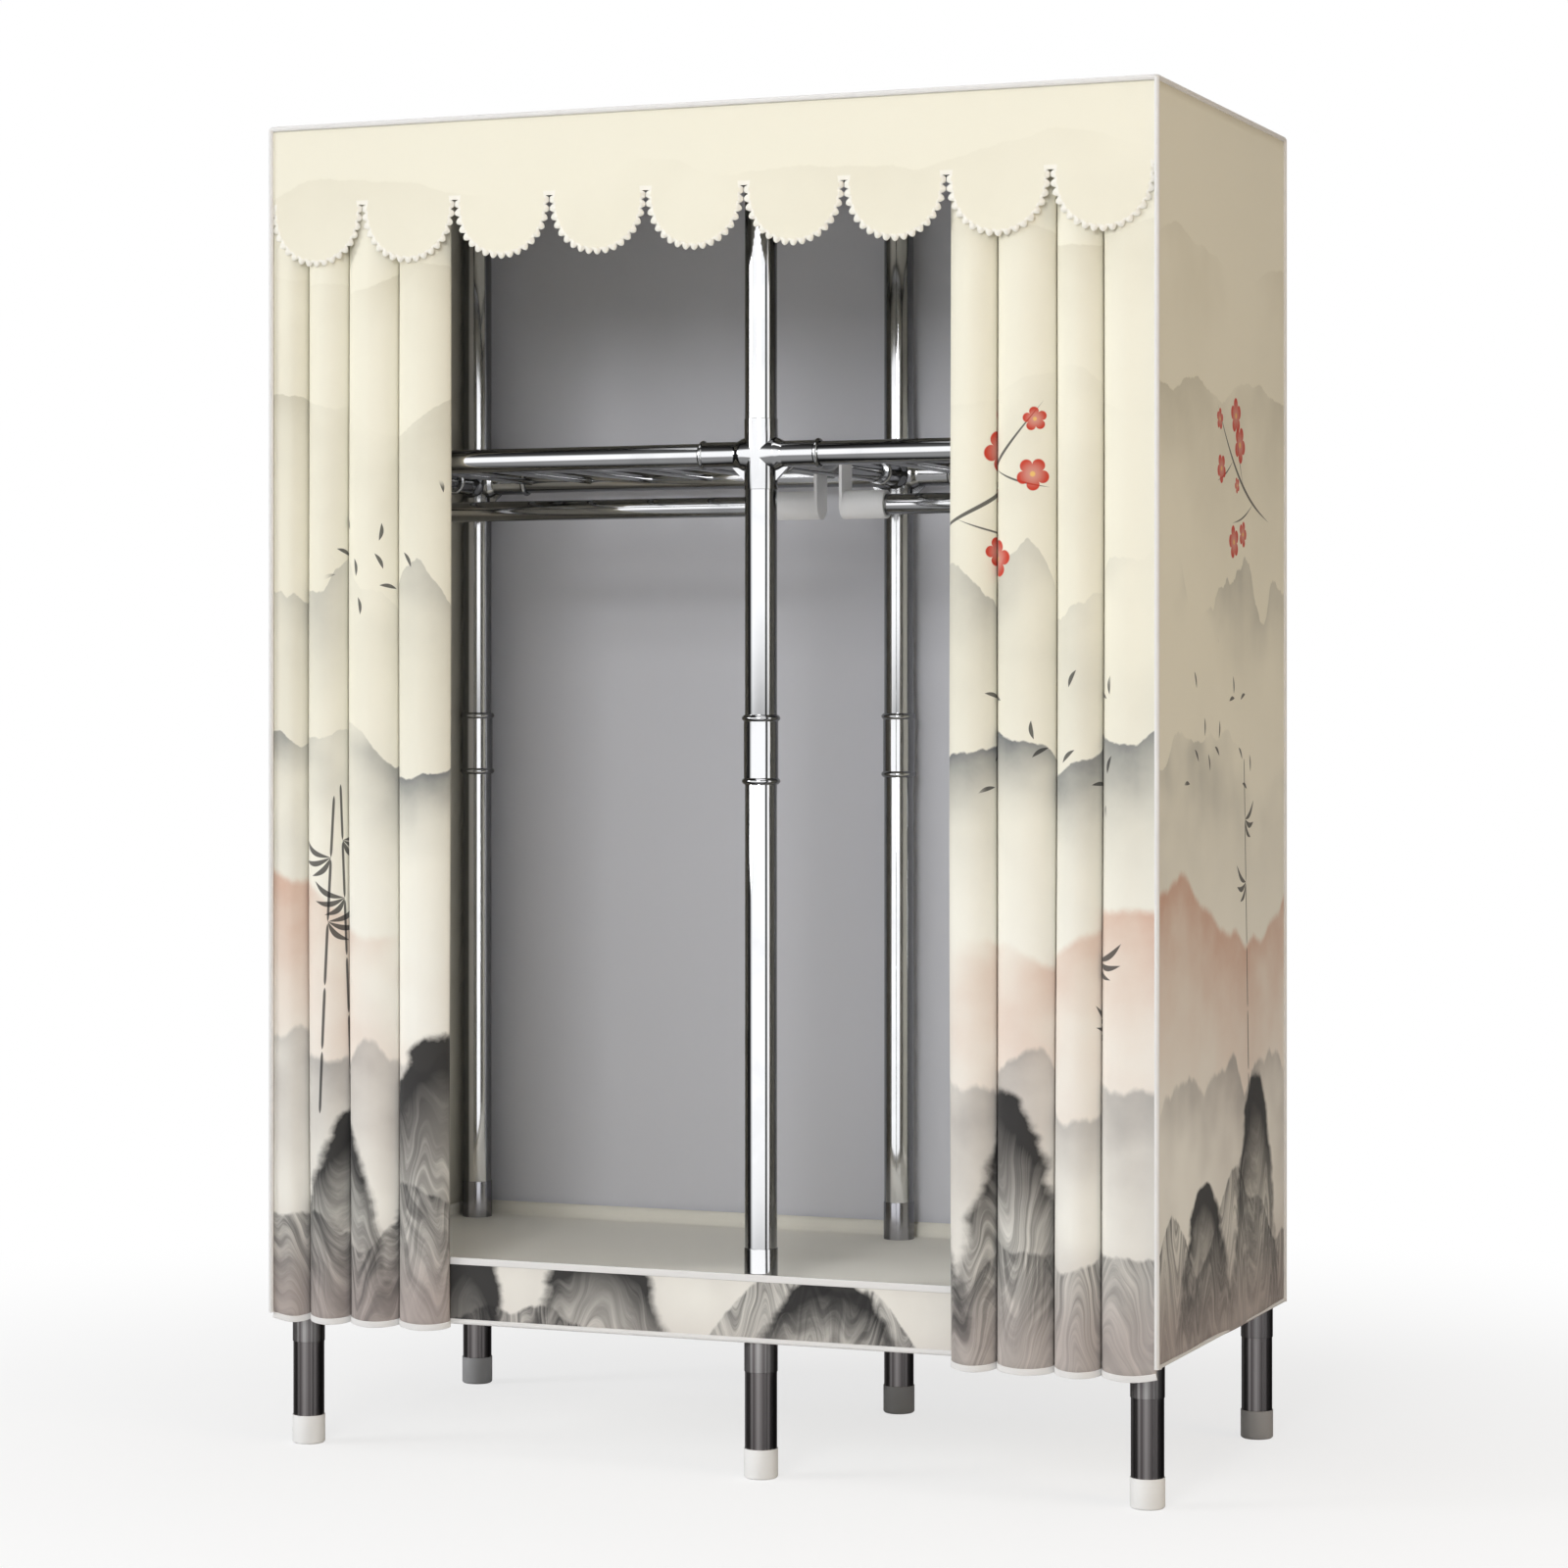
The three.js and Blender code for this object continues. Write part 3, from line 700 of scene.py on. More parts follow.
PRINTS = {
    "left_curtain": together(
        bamboo(0.115, 0.26, 5, 0.082, 3.0),
        bamboo(0.160, 0.24, 6, 0.074, -2.0),
        leaves=(0.30, 0.98, 0.20, 0.10),
        mounds=(Mound(0.17, 0.27, 0.11, 0.27, 0.42, 2.4), Mound(0.40, 0.37, 0.15, 0.37, 0.46, 8.1)),
    ),
    "right_curtain": together(
        sprig(0.50, 0.98, 0.30, 146.0),
        bamboo(0.10, 0.18, 5, 0.075, -3.0),
        leaves=(0.22, 0.74, 0.20, 0.11),
        mounds=(Mound(0.31, 0.33, 0.13, 0.33, 0.50, 5.3), Mound(0.50, 0.20, 0.12, 0.20, 0.45, 1.7)),
    ),
    "left_side": together(
        sprig(0.10, 1.05, 0.30, 30.0),
        bamboo(0.42, 0.14, 7, 0.085, 3.0),
        mounds=(Mound(0.22, 0.3, 0.15, 0.3, 0.44, 6.2),),
    ),
    "right_side": together(
        sprig(0.50, 1.02, 0.28, 150.0),
        bamboo(0.40, 0.24, 6, 0.080, -3.0),
        leaves=(0.28, 0.76, 0.20, 0.12),
        mounds=(Mound(0.43, 0.32, 0.13, 0.32, 0.50, 3.9), Mound(0.20, 0.20, 0.13, 0.2, 0.45, 9.4)),
    ),
    "apron": together(
        mounds=(
            Mound(0.262, 0.115, 0.060, 0.40, 0.08, 4.4),
            Mound(0.450, 0.105, 0.100, 0.16, 0.22, 7.7),
            Mound(0.760, 0.085, 0.120, 0.14, 0.40, 2.9),
        )
    ),
    "valance": Motifs(),
    "top": Motifs(),
}


@dataclass(frozen=True)
class Metal:
    """A plated finish."""

    name: str
    colour: str  # the colour of its reflections
    roughness: float  # how rough it is where clean
    smudge: float  # how much rougher smudges make it
    scratch: float  # how deep its scratches show
    edge: float = 0.74  # how much of the painted dark rim, a painted reflection, it has where it turns away from the eye
    # The height on the piece below which the plating is darker, rougher and streaked round the tube, if it
    # is: a dull collar on the sleeves, and on the legs a darker drawn foot whose streaks are painted
    # reflection bands
    dull_below: float | None = None
    dull: str = "#BBB6B6"  # the colour of its reflections there
    dull_roughness: float = 0.3  # how rough it is there


@dataclass(frozen=True)
class Plastic:
    """A moulded finish: its name, colour, roughness and grain."""

    name: str
    colour: str
    roughness: float
    grain: float


@dataclass(frozen=True)
class Cloth:
    """A woven finish."""

    name: str
    colour: str  # its colour where it isn't printed
    print_name: str = ""  # the print that it carries, if any
    shift: float = 0.0  # where on the hills its print starts, across
    lift: float = 0.0  # how far the hills are lowered on it
    rocks: float = 1.0  # how much of the rocks' ink it carries
    wash: float = 1.0  # how strong the hills' wash is
    crease: float = 1.0  # how deep its creases show
    roughness: float = 0.82  # how rough it is
    trim: str = ""  # the colour of its trimmed edge, if it has one


Finish = Metal | Plastic | Cloth

TUBE_CHROME = Metal("tube_chrome_plate", "#F1F2F4", 0.06, 0.08, 0.04)
# The legs' foot below the hem is painted darker, with painted reflection bands round the tube.
LEG_CHROME = Metal("leg_chrome_plate", "#F1F2F4", 0.06, 0.08, 0.04, dull_below=0.16)
CONNECTOR_CHROME = Metal("connector_chrome_plate", "#EDEEF0", 0.07, 0.08, 0.02)
FRONT_SLEEVE = Metal("front_sleeve_plate", "#EDEEF0", 0.08, 0.08, 0.05, 0.8, 0.02, "#BDBBBA", 0.42)
# painted shade: the rear sleeves are a darker copy of the front sleeve's chrome
SHADED_BACK_SLEEVE = Metal("back_sleeve_plate", "#B9B9BF", 0.16, 0.08, 0.05, 0.6, 0.0, "#A09D9D", 0.4)
WHITE_CAP = Plastic("white_cap_plastic", "#F2F2F1", 0.48, 0.25)
# painted shade: a darker copy of the white cap for the rear feet
SHADED_BACK_CAP = Plastic("grey_cap_plastic", "#A8A8AA", 0.5, 0.25)
CUP_GREY = Plastic("cup_plastic_grey", "#FCFCFD", 0.36, 0.2)
RING_WHITE = Plastic("ring_plastic_white", "#E4E4E2", 0.4, 0.15)
LEFT_PRINT = Cloth("left_curtain_print", Palette.CREAM, "left_curtain", 0.0)
RIGHT_PRINT = Cloth("right_curtain_print", Palette.CREAM, "right_curtain", 1.7, rocks=0.85)
LEFT_SIDE_PRINT = Cloth("left_side_print", Palette.CREAM, "left_side", 4.1)
RIGHT_SIDE_PRINT = Cloth("right_side_print", Palette.CREAM, "right_side", 2.9)
VALANCE_PRINT = Cloth("valance_print", Palette.CREAM, "valance", 6.3, -0.10, 1.0, 0.5, 0.5, trim="#F8F5EA")
TOP_PRINT = Cloth("top_print", Palette.CREAM, "top", 7.7, 1.1, 0.0, 0.5)
APRON_PRINT = Cloth("apron_print", Palette.CREAM, "apron", 0.62, 0.10, 1.0, 1.0)
REVERSE = Cloth("cloth_reverse", "#DDDACE")
GREY_CLOTH = Cloth("grey_back_cloth", "#A9A9AD")
# painted light: the back cloth's inner face, much lighter than its grey outside to stand in for light inside
LIGHTENED_BACK_INSIDE = Cloth("grey_back_lining", "#E9EAF1")
TRAY_CLOTH = Cloth("tray_cloth_beige", "#FDFAF0")
BINDING = Cloth("white_binding", "#E6E5E4", crease=0.2, roughness=0.7)


@dataclass
class WardrobeFinishes:
    """Makes each finish once, and hands it out."""

    # How deep the grain or a scratch is, in metres, for a finish that has it at 1
    grain_depth: float = 0.1 * MM
    crease_depth: float = 3 * MM  # how deep a crease is, in metres, for a cloth that has it at 1
    dull_edge: float = 2 * MM  # half the height over which the darker streaked foot passes into the plating

    def __post_init__(self) -> None:
        """Builds the effects that the finishes share."""
        self.weave, self.creases = ThreadWeave(), SoftCreases()
        self.wear, self.grain = MetalWear(), MouldedGrain()
        self.stroke, self.petals, self.leaves = BrushStroke(), FivePetals(), DriftingLeaves()
        marbling = InkMarbling()
        self.mound = InkMound(marbling)
        self.landscape = MistyHills(RidgeWash(), marbling)
        self.made: dict[str, bpy.types.Material] = {}

    def get(self, finish: Finish) -> bpy.types.Material:
        """The material of a finish, made on its first use.

        Args:
            finish: The finish.

        Returns:
            The material.
        """
        if finish.name not in self.made:
            makers = {Metal: self.metal, Plastic: self.plastic, Cloth: self.cloth}
            material = bpy.data.materials.new(finish.name)
            material.diffuse_color = linear(finish.colour)
            makers[type(finish)](emptied(material), finish)
            self.made[finish.name] = material
        return self.made[finish.name]

    def surface(self, height: Signal, depth: float, **inputs: Signal | float) -> None:
        """Puts a Principled BSDF with a bump on the material's output.

        Args:
            height: The bump's height from 0 to 1.
            depth: How many metres the height stands for.
            inputs: The shader's other inputs, with _ for a space.
        """
        tree = height.tree
        bump = add_node(tree, "Bump", {"Strength": 1.0, "Distance": depth, "Height": height})
        values = {name.replace("_", " "): value for name, value in inputs.items()}
        shader = add_node(tree, "BsdfPrincipled", {**values, "Normal": Signal(tree, bump.outputs[0])})
        add_node(tree, "OutputMaterial", {"Surface": Signal(tree, shader.outputs[0])})

    def metal(self, tree: bpy.types.NodeTree, finish: Metal) -> None:
        """Fills a plated material.

        Args:
            tree: The material's tree.
            finish: Its finish.
        """
        spot = read_from(tree, "TexCoord", "Object")
        wear = self.wear.place(spot)
        colour = (wear["Smudge"] * 0.2).mixed(linear(finish.colour), linear(Palette.SMUDGE))
        painted_rim_share: Signal | float = finish.edge
        roughness = wear["Smudge"] * finish.smudge + wear["Scratch"] * 0.05 + finish.roughness
        # Darker, rougher and streaked round the tube below dull_below; on the legs the streaks are painted
        # reflection bands.
        if finish.dull_below is not None:
            x, y, z = spot.parts()
            drawn = (y.math("ARCTAN2", x) * 2.6).noise(1.0, 3.0, along_line=True).step(0.36, 0.66)
            streaked = drawn.mixed(linear(Palette.STREAK), linear(finish.dull))
            low = 1.0 - z.step(finish.dull_below - self.dull_edge, finish.dull_below + self.dull_edge)
            colour = low.mixed(colour, streaked)
            roughness = roughness + low * (finish.dull_roughness - finish.roughness)
            painted_rim_share = (1.0 - low * 0.7) * finish.edge
        # Painted reflection: the colour darkens to a dark rim as the surface turns away from the eye.
        painted_rim = read_from(tree, "LayerWeight", "Facing").step(0.13, 0.26) * painted_rim_share
        colour = painted_rim.mixed(colour, linear(Palette.RIM))
        depth = finish.scratch * self.grain_depth
        self.surface(wear["Scratch"], depth, Base_Color=colour, Roughness=roughness, Metallic=1.0)

    def plastic(self, tree: bpy.types.NodeTree, finish: Plastic) -> None:
        """Fills a moulded material.

        Args:
            tree: The material's tree.
            finish: Its finish.
        """
        grain = self.grain.place(read_from(tree, "TexCoord", "Object"))
        mottle = grain["Mottle"]
        shade = (mottle.step(0.35, 0.75) * 0.08).mixed(linear(finish.colour), linear(Palette.MOTTLE))
        gloss = {"Roughness": mottle * 0.12 + finish.roughness, "Specular_IOR_Level": 0.45}
        self.surface(grain["Height"], finish.grain * self.grain_depth, Base_Color=shade, **gloss)

    def cloth(self, tree: bpy.types.NodeTree, finish: Cloth) -> None:
        """Fills a woven material, printed if the finish says so.

        Args:
            tree: The material's tree.
            finish: Its finish.
        """
        spot = read_from(tree, "UVMap", "UV", uv_map="cloth")
        weave = self.weave.place(spot)["Height"]
        crease = self.creases.place(spot)["Height"]
        colour = self.printed(spot, finish) if finish.print_name else linear(finish.colour)
        if finish.trim:
            near, piping_shadow, _ = read_from(tree, "UVMap", "UV", uv_map="trim").parts()
            colour = near.step(0.25, 0.55).mixed(colour, linear(finish.trim))
            # Painted shadow: a grey line under the top piping, along the seam.
            colour = (piping_shadow.step(0.40, 0.56) * 0.55).mixed(colour, linear(Palette.SEAM))
        self.surface(
            weave * 0.03 + crease * finish.crease,
            self.crease_depth,
            Base_Color=(weave * 0.10).mixed(colour, linear(Palette.THREAD)),
            Roughness=weave * 0.1 + finish.roughness,
            Sheen_Weight=0.12,
            Sheen_Roughness=0.5,
            Specular_IOR_Level=0.25,
        )

    def printed(self, spot: Signal, finish: Cloth) -> Signal:
        """The print of a piece of cloth: the hills, and its motifs over them.

        Args:
            spot: The place on the flat cloth, in metres.
            finish: The cloth's finish.

        Returns:
            The printed colour.
        """
        u, v, _ = spot.parts()
        shifted = joined(u + finish.shift, v + finish.lift)
        colour = self.landscape.place(shifted, Rocks=finish.rocks, Wash=finish.wash)["Colour"]
        motifs = PRINTS[finish.print_name]
        masks = [self.mound.draw(spot, mark)["Mask"] for mark in motifs.mounds]
        masks += [self.stroke.draw(spot, mark)["Mask"] * 0.86 for mark in motifs.strokes]
        if motifs.leaves:
            x, y, half_width, half_height = motifs.leaves
            aside, over = ((u - x) / half_width).size(), ((v - y) / half_height).size()
            patch = (1.0 - aside.step(0.5, 1.0)) * (1.0 - over.step(0.5, 1.0))
            masks.append(self.leaves.place(spot)["Mask"] * patch.step(0.1, 0.4) * 0.85)
        for mask in masks:
            colour = mask.mixed(colour, linear(Palette.INK))
        for flower in motifs.blossoms:
            parts = self.petals.draw(spot, flower)
            colour = parts["Petals"].mixed(colour, linear(Palette.VERMILION))
            colour = (parts["Heart"] * 0.8).mixed(colour, linear(Palette.HEART))
        return colour


FINISHES = WardrobeFinishes()


@dataclass
class Form:
    """The vertices, faces and flat-cloth places of one mesh."""

    points: list[Point] = field(default_factory=list)
    faces: list[tuple[int, ...]] = field(default_factory=list)  # the faces, as rows of vertex numbers
    # The place of each vertex on the flat cloth, if it is cloth
    places: list[Flat] = field(default_factory=list)
    # How near each vertex is to a trimmed edge and to the piping's painted shadow line along the seam, each
    # from 0 to 1
    trims: list[Flat] = field(default_factory=list)

    def moved(self, place: Matrix) -> "Form":
        """The form, moved by a matrix."""
        return Form([tuple(place @ Vector(point)) for point in self.points], self.faces)

    def laid(self, x: float, y: float) -> "Form":
        """Lays the form out flat: shares of its X and Y run across the cloth, and its Z up."""
        self.places = [(point[0] * x + point[1] * y, point[2]) for point in self.points]
        return self

    def join_rings(self, around: int, closed: bool, capped: bool) -> "Form":
        """Adds the faces between rings of points that follow one another.

        Args:
            around: How many points each ring has.
            closed: Whether the last ring joins the first.
            capped: Whether the first and the last ring are filled.

        Returns:
            The form itself.
        """
        rings = len(self.points) // around
        for ring in range(rings if closed else rings - 1):
            start, after = ring * around, (ring + 1) % rings * around
            for i in range(around):
                j = (i + 1) % around
                self.faces.append((start + i, start + j, after + j, after + i))
        if capped:
            last = (rings - 1) * around
            self.faces += [tuple(range(around)), tuple(range(last, last + around))]
        return self

    def mesh(self, name: str) -> bpy.types.Mesh:
        """Makes the mesh. Where it isn't cloth, its faces are turned out and its doubled points joined.

        Args:
            name: Its name.

        Returns:
            The mesh.
        """
        mesh = bpy.data.meshes.new(name)
        mesh.from_pydata(self.points, [], self.faces)
        corners = np.zeros(len(mesh.loops), np.int32)
        mesh.loops.foreach_get("vertex_index", corners)
        for label, places in (("cloth", self.places), ("trim", self.trims)):
            if places:
                layer = mesh.uv_layers.new(name=label)
                layer.uv.foreach_set("vector", np.array(places, np.float32)[corners].ravel())
        if not self.places:
            work = bmesh.new()
            work.from_mesh(mesh)
            bmesh.ops.remove_doubles(work, verts=work.verts, dist=1e-6)
            bmesh.ops.recalc_face_normals(work, faces=work.faces)
            work.to_mesh(mesh)
            work.free()
        return mesh


def turned(profile: Sequence[Flat], sides: int = 48, closed: bool = False) -> Form:
    """A turned form about +Z.

    Args:
        profile: Its outline, as radius and height.
        sides: How many sides it has round.
        closed: Whether the outline's end joins its start.

    Returns:
        The form.
    """
    ring = circle(1.0, sides)
    points = [(radius * x, radius * y, height) for radius, height in profile for x, y in ring]
    return Form(points).join_rings(sides, closed, capped=False)


def rounded(profile: Sequence[Flat], radius: float, closed: bool, steps: int = 3) -> list[Flat]:
    """Rounds the corners of an outline.

    Args:
        profile: The outline's points.
        radius: How far from a corner its rounding starts, at most a third of its shorter side.
        closed: Whether the outline's end joins its start.
        steps: How many faces round a corner.

    Returns:
        The rounded outline.
    """
    made = []
    count = len(profile)
    for i, here in enumerate(profile):
        if not closed and i in (0, count - 1):
            made.append(here)
            continue
        corner = Vector(here)
        back, ahead = Vector(profile[i - 1]) - corner, Vector(profile[(i + 1) % count]) - corner
        reach = min(radius, back.length / 3, ahead.length / 3)
        start, end = corner + back.normalized() * reach, corner + ahead.normalized() * reach
        for k in range(steps + 1):
            t = k / steps
            made.append(tuple(start * (1 - t) ** 2 + corner * 2 * t * (1 - t) + end * t * t))
    return made


def tube(
    inner: float, outer: float, low: float, high: float, sides: int, edge: float = 0.25 * MM, steps: int = 2
) -> Form:
    """A tube about +Z with rounded edges."""
    outline = [(inner, low), (outer, low), (outer, high), (inner, high)]
    return turned(rounded(outline, edge, True, steps), sides, True)


def cylinder(radius: float, low: float, high: float, sides: int = 48) -> Form:
    """A plain closed cylinder about +Z."""
    return turned([(0, low), (radius, low), (radius, high), (0, high)], sides)


def plate(outline: Sequence[Flat], reaches: tuple[float, float], axis: int) -> Form:
    """A flat plate between two places on an axis, with an outline in the other two."""
    points = [(*spot[:axis], reach, *spot[axis:]) for reach in reaches for spot in outline]
    return Form(points).join_rings(len(outline), closed=False, capped=True)


def oblong(half_width: float, half_height: float) -> list[Flat]:
    """The corners of a rectangle about the origin."""
    return [(half_width * x, half_height * y) for x, y in ((-1, -1), (1, -1), (1, 1), (-1, 1))]


def circle(radius: float, sides: int) -> list[Flat]:
    """A round section."""
    return [(radius * math.cos(TURN * i / sides), radius * math.sin(TURN * i / sides)) for i in range(sides)]


def swept(path: Sequence[Vector], section: Sequence[Flat], up: Vector, closed: bool = False) -> Form:
    """A form that follows a path with one section.

    Args:
        path: The path's points.
        section: The section's points, aside and up.
        up: The direction that the section's second value follows.
        closed: Whether the path's end joins its start.

    Returns:
        The form, with its ends filled unless it is closed.
    """
    form = Form()
    count = len(path)
    for i, point in enumerate(path):
        before = path[i - 1] if i or closed else point
        after = path[(i + 1) % count] if i < count - 1 or closed else point
        ahead = (after - before).normalized()
        aside = ahead.cross(up).normalized()
        over = aside.cross(ahead).normalized()
        form.points += [tuple(point + aside * a + over * b) for a, b in section]
    return form.join_rings(len(section), closed, capped=not closed)


def sheet(at: Callable[[float, float], tuple[Point, Flat]], columns: int, rows: int) -> Form:
    """An open sheet of cloth.

    Args:
        at: Gives the point and the flat place at a share across and a share upward.
        columns: How many columns of points it has.
        rows: How many rows of points it has.

    Returns:
        The form, one layer thick.
    """
    form = Form()
    for j in range(rows):
        for i in range(columns):
            point, place = at(i / (columns - 1), j / (rows - 1))
            form.points.append(point)
            form.places.append(place)
            if i and j:
                a = (j - 1) * columns + i - 1
                form.faces.append((a, a + 1, a + columns + 1, a + columns))
    return form


def arch(place: float, start: float, end: float) -> float:
    """Rises from nothing at the start to 1 halfway, falls to nothing at the end, and is nothing elsewhere."""
    return max(0.0, math.sin(math.pi * min(1.0, max(0.0, (place - start) / (end - start)))))


def lengths(line: np.ndarray) -> np.ndarray:
    """How far along a line each of its points is."""
    return np.concatenate([[0.0], np.cumsum(np.linalg.norm(np.diff(line, axis=0), axis=1))])


def read_at(places: np.ndarray, reach: np.ndarray, line: np.ndarray) -> np.ndarray:
    """Both columns of a line's values, read at places along its length."""
    return np.stack([np.interp(places, reach, line[:, i]) for i in (0, 1)], axis=1)


def add_object(name: str, data: bpy.types.ID) -> bpy.types.Object:
    """Puts an object with some data in the scene.

    Args:
        name: Its name.
        data: Its mesh, lamp or camera.

    Returns:
        The object.
    """
    made = bpy.data.objects.new(name, data)
    bpy.context.scene.collection.objects.link(made)
    return made


@dataclass
class Piece:
    """One piece of the object, ready to be placed."""

    name: str
    mesh: bpy.types.Mesh
    finish: Finish
    slot: Slot  # the record's slot that goes with its finish; not used
    body: str = "root"  # the body that it rides on, or nothing if it rides on none
    nodes: tuple[str, ...] = ()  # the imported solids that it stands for

    def put(self, place: Matrix | None = None, smooth: float = 38.0) -> bpy.types.Object:
        """Makes the object.

        Args:
            place: Where it goes, if its mesh isn't in place.
            smooth: The widest angle between two faces that still shade as one, in degrees.

        Returns:
            The object, riding on its body if it has one.
        """
        piece = add_object(self.name, self.mesh)
        if place is not None:
            piece.matrix_world = place
        if not self.mesh.materials:
            self.mesh.materials.append(FINISHES.get(self.finish))
            self.mesh.polygons.foreach_set("use_smooth", [True] * len(self.mesh.polygons))
            self.mesh.set_sharp_from_angle(angle=math.radians(smooth))
        if self.body:
            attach(piece, self.body)
        if self.nodes:
            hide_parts(*self.nodes)
        LOG.info("%s: %d vertices", self.name, len(self.mesh.vertices))
        return piece

    def put_cloth(self, thickness: float, reverse: Cloth | None = None) -> bpy.types.Object:
        """Makes the object as cloth.

        Args:
            thickness: The cloth's thickness.
            reverse: The finish of its reverse, if it has another one.

        Returns:
            The object.
        """
        piece = self.put(smooth=180.0)
        wall = piece.modifiers.new("cloth_thickness", "SOLIDIFY")
        wall.thickness = thickness
        wall.offset = 0.0
        wall.use_even_offset = False
        if reverse:
            self.mesh.materials.append(FINISHES.get(reverse))
            wall.material_offset = 1
        return piece


def united(name: str, outer: Sequence[Form], cuts: Sequence[Form] = ()) -> bpy.types.Mesh:
    """Joins closed forms into one mesh, and cuts others out of it.

    Args:
        name: The mesh's name.
        outer: The forms that are joined.
        cuts: The forms that are cut away.

    Returns:
        The mesh.
    """
    base, *tools = [add_object(f"{name}_tool", form.mesh(f"{name}_tool")) for form in (*outer, *cuts)]
    for i, tool in enumerate(tools, 1):
        step = base.modifiers.new("join", "BOOLEAN")
        step.operation = "UNION" if i < len(outer) else "DIFFERENCE"
        step.solver = "EXACT"
        step.object = tool
    graph = bpy.context.evaluated_depsgraph_get()
    mesh = bpy.data.meshes.new_from_object(base.evaluated_get(graph), depsgraph=graph)
    mesh.name = name
    for made in (base, *tools):
        spare = made.data
        bpy.data.objects.remove(made)
        bpy.data.meshes.remove(spare)
    return mesh


@dataclass
class Posts:
    """The six posts: a foot cap, a lower tube, a coupler and an upper tube each."""

    sides: int = 64  # how many sides they have round
    wall: float = 0.7 * MM  # the wall of a tube
    coupler_low: float = 0.859  # the height of the coupler's foot
    coupler_length: float = 0.086  # its length
    coupler_wall: float = 1.2 * MM  # its wall
    bead_width: float = 8 * MM  # the width of the bead at each of its ends
    bead_proud: float = 2.6 * MM  # how far a bead stands proud
    bead_steps: int = 8  # how many faces a bead has along the post
    cap_wall: float = 0.8 * MM  # the wall of a foot cap
    cap_chamfer: float = 2 * MM  # how far its foot is chamfered
    cap_floor: float = 4 * MM  # the thickness of its floor
    cap_edge: float = 0.9 * MM  # how far its edges are rounded

    def tube(self, low: float, high: float) -> bpy.types.Mesh:
        """A post tube between two heights."""
        radius = LAYOUT.post_radius
        return tube(radius - self.wall, radius, low, high, self.sides).mesh("post_tube")

    def coupler(self) -> bpy.types.Mesh:
        """The sleeve where a lower and an upper tube meet, with a rounded bead at each end.

        Returns:
            The mesh.
        """
        bore = LAYOUT.post_radius + FIT
        sleeve = LAYOUT.post_radius + GAP + self.coupler_wall
        low, high = self.coupler_low, self.coupler_low + self.coupler_length
        outline = [(bore, low)]
        for start in (low, high - self.bead_width):
            for share in (k / self.bead_steps for k in range(self.bead_steps + 1)):
                rise = self.bead_proud * math.sin(math.pi * share)
                outline.append((sleeve + rise, start + self.bead_width * share))
        outline.append((bore, high))
        return turned(outline, self.sides, True).mesh("coupler")

    def cap(self) -> bpy.types.Mesh:
        """A foot cap with a rounded foot and a soft rim.

        Returns:
            The mesh.
        """
        low, high = (corner.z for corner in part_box("foot_cap_left_front"))
        bore = LAYOUT.post_radius + GAP
        outside, floor = bore + self.cap_wall, low + self.cap_floor
        edge = self.cap_chamfer
        outline = [(0, low), (outside - edge, low), (outside, low + edge), (outside, high)]
        outline += [(bore, high), (bore, floor), (0, floor)]
        return turned(rounded(outline, self.cap_edge, False), self.sides).mesh("foot_cap")

    def build(self) -> None:
        """Places every post."""
        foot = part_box("lower_post_left_front")[0].z
        upper = [corner.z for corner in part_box("upper_post_left_front")]
        lower_tube = self.tube(foot, self.coupler_low + self.coupler_length / 2)
        upper_tube, coupler = self.tube(*upper), self.coupler()
        # The rear feet take a darker copy of the white cap: painted shade.
        caps = {"front": (self.cap(), WHITE_CAP), "back": (self.cap(), SHADED_BACK_CAP)}
        for column, x in LAYOUT.columns.items():
            for row, y in LAYOUT.rows.items():
                pieces = (
                    ("foot", *caps[row], Slot.CAP, ("foot_cap",)),
                    ("lower_tube", lower_tube, LEG_CHROME, Slot.TUBE, ("lower_post",)),
                    ("coupler", coupler, CONNECTOR_CHROME, Slot.TUBE, ()),
                    ("upper_tube", upper_tube, TUBE_CHROME, Slot.TUBE, ("upper_post",)),
                )
                for name, mesh, finish, slot, packed in pieces:
                    nodes = tuple(f"{node}_{column}_{row}" for node in packed)
                    piece = Piece(f"{name}_{column}_{row}", mesh, finish, slot, nodes=nodes)
                    piece.put(Matrix.Translation((x, y, 0)))


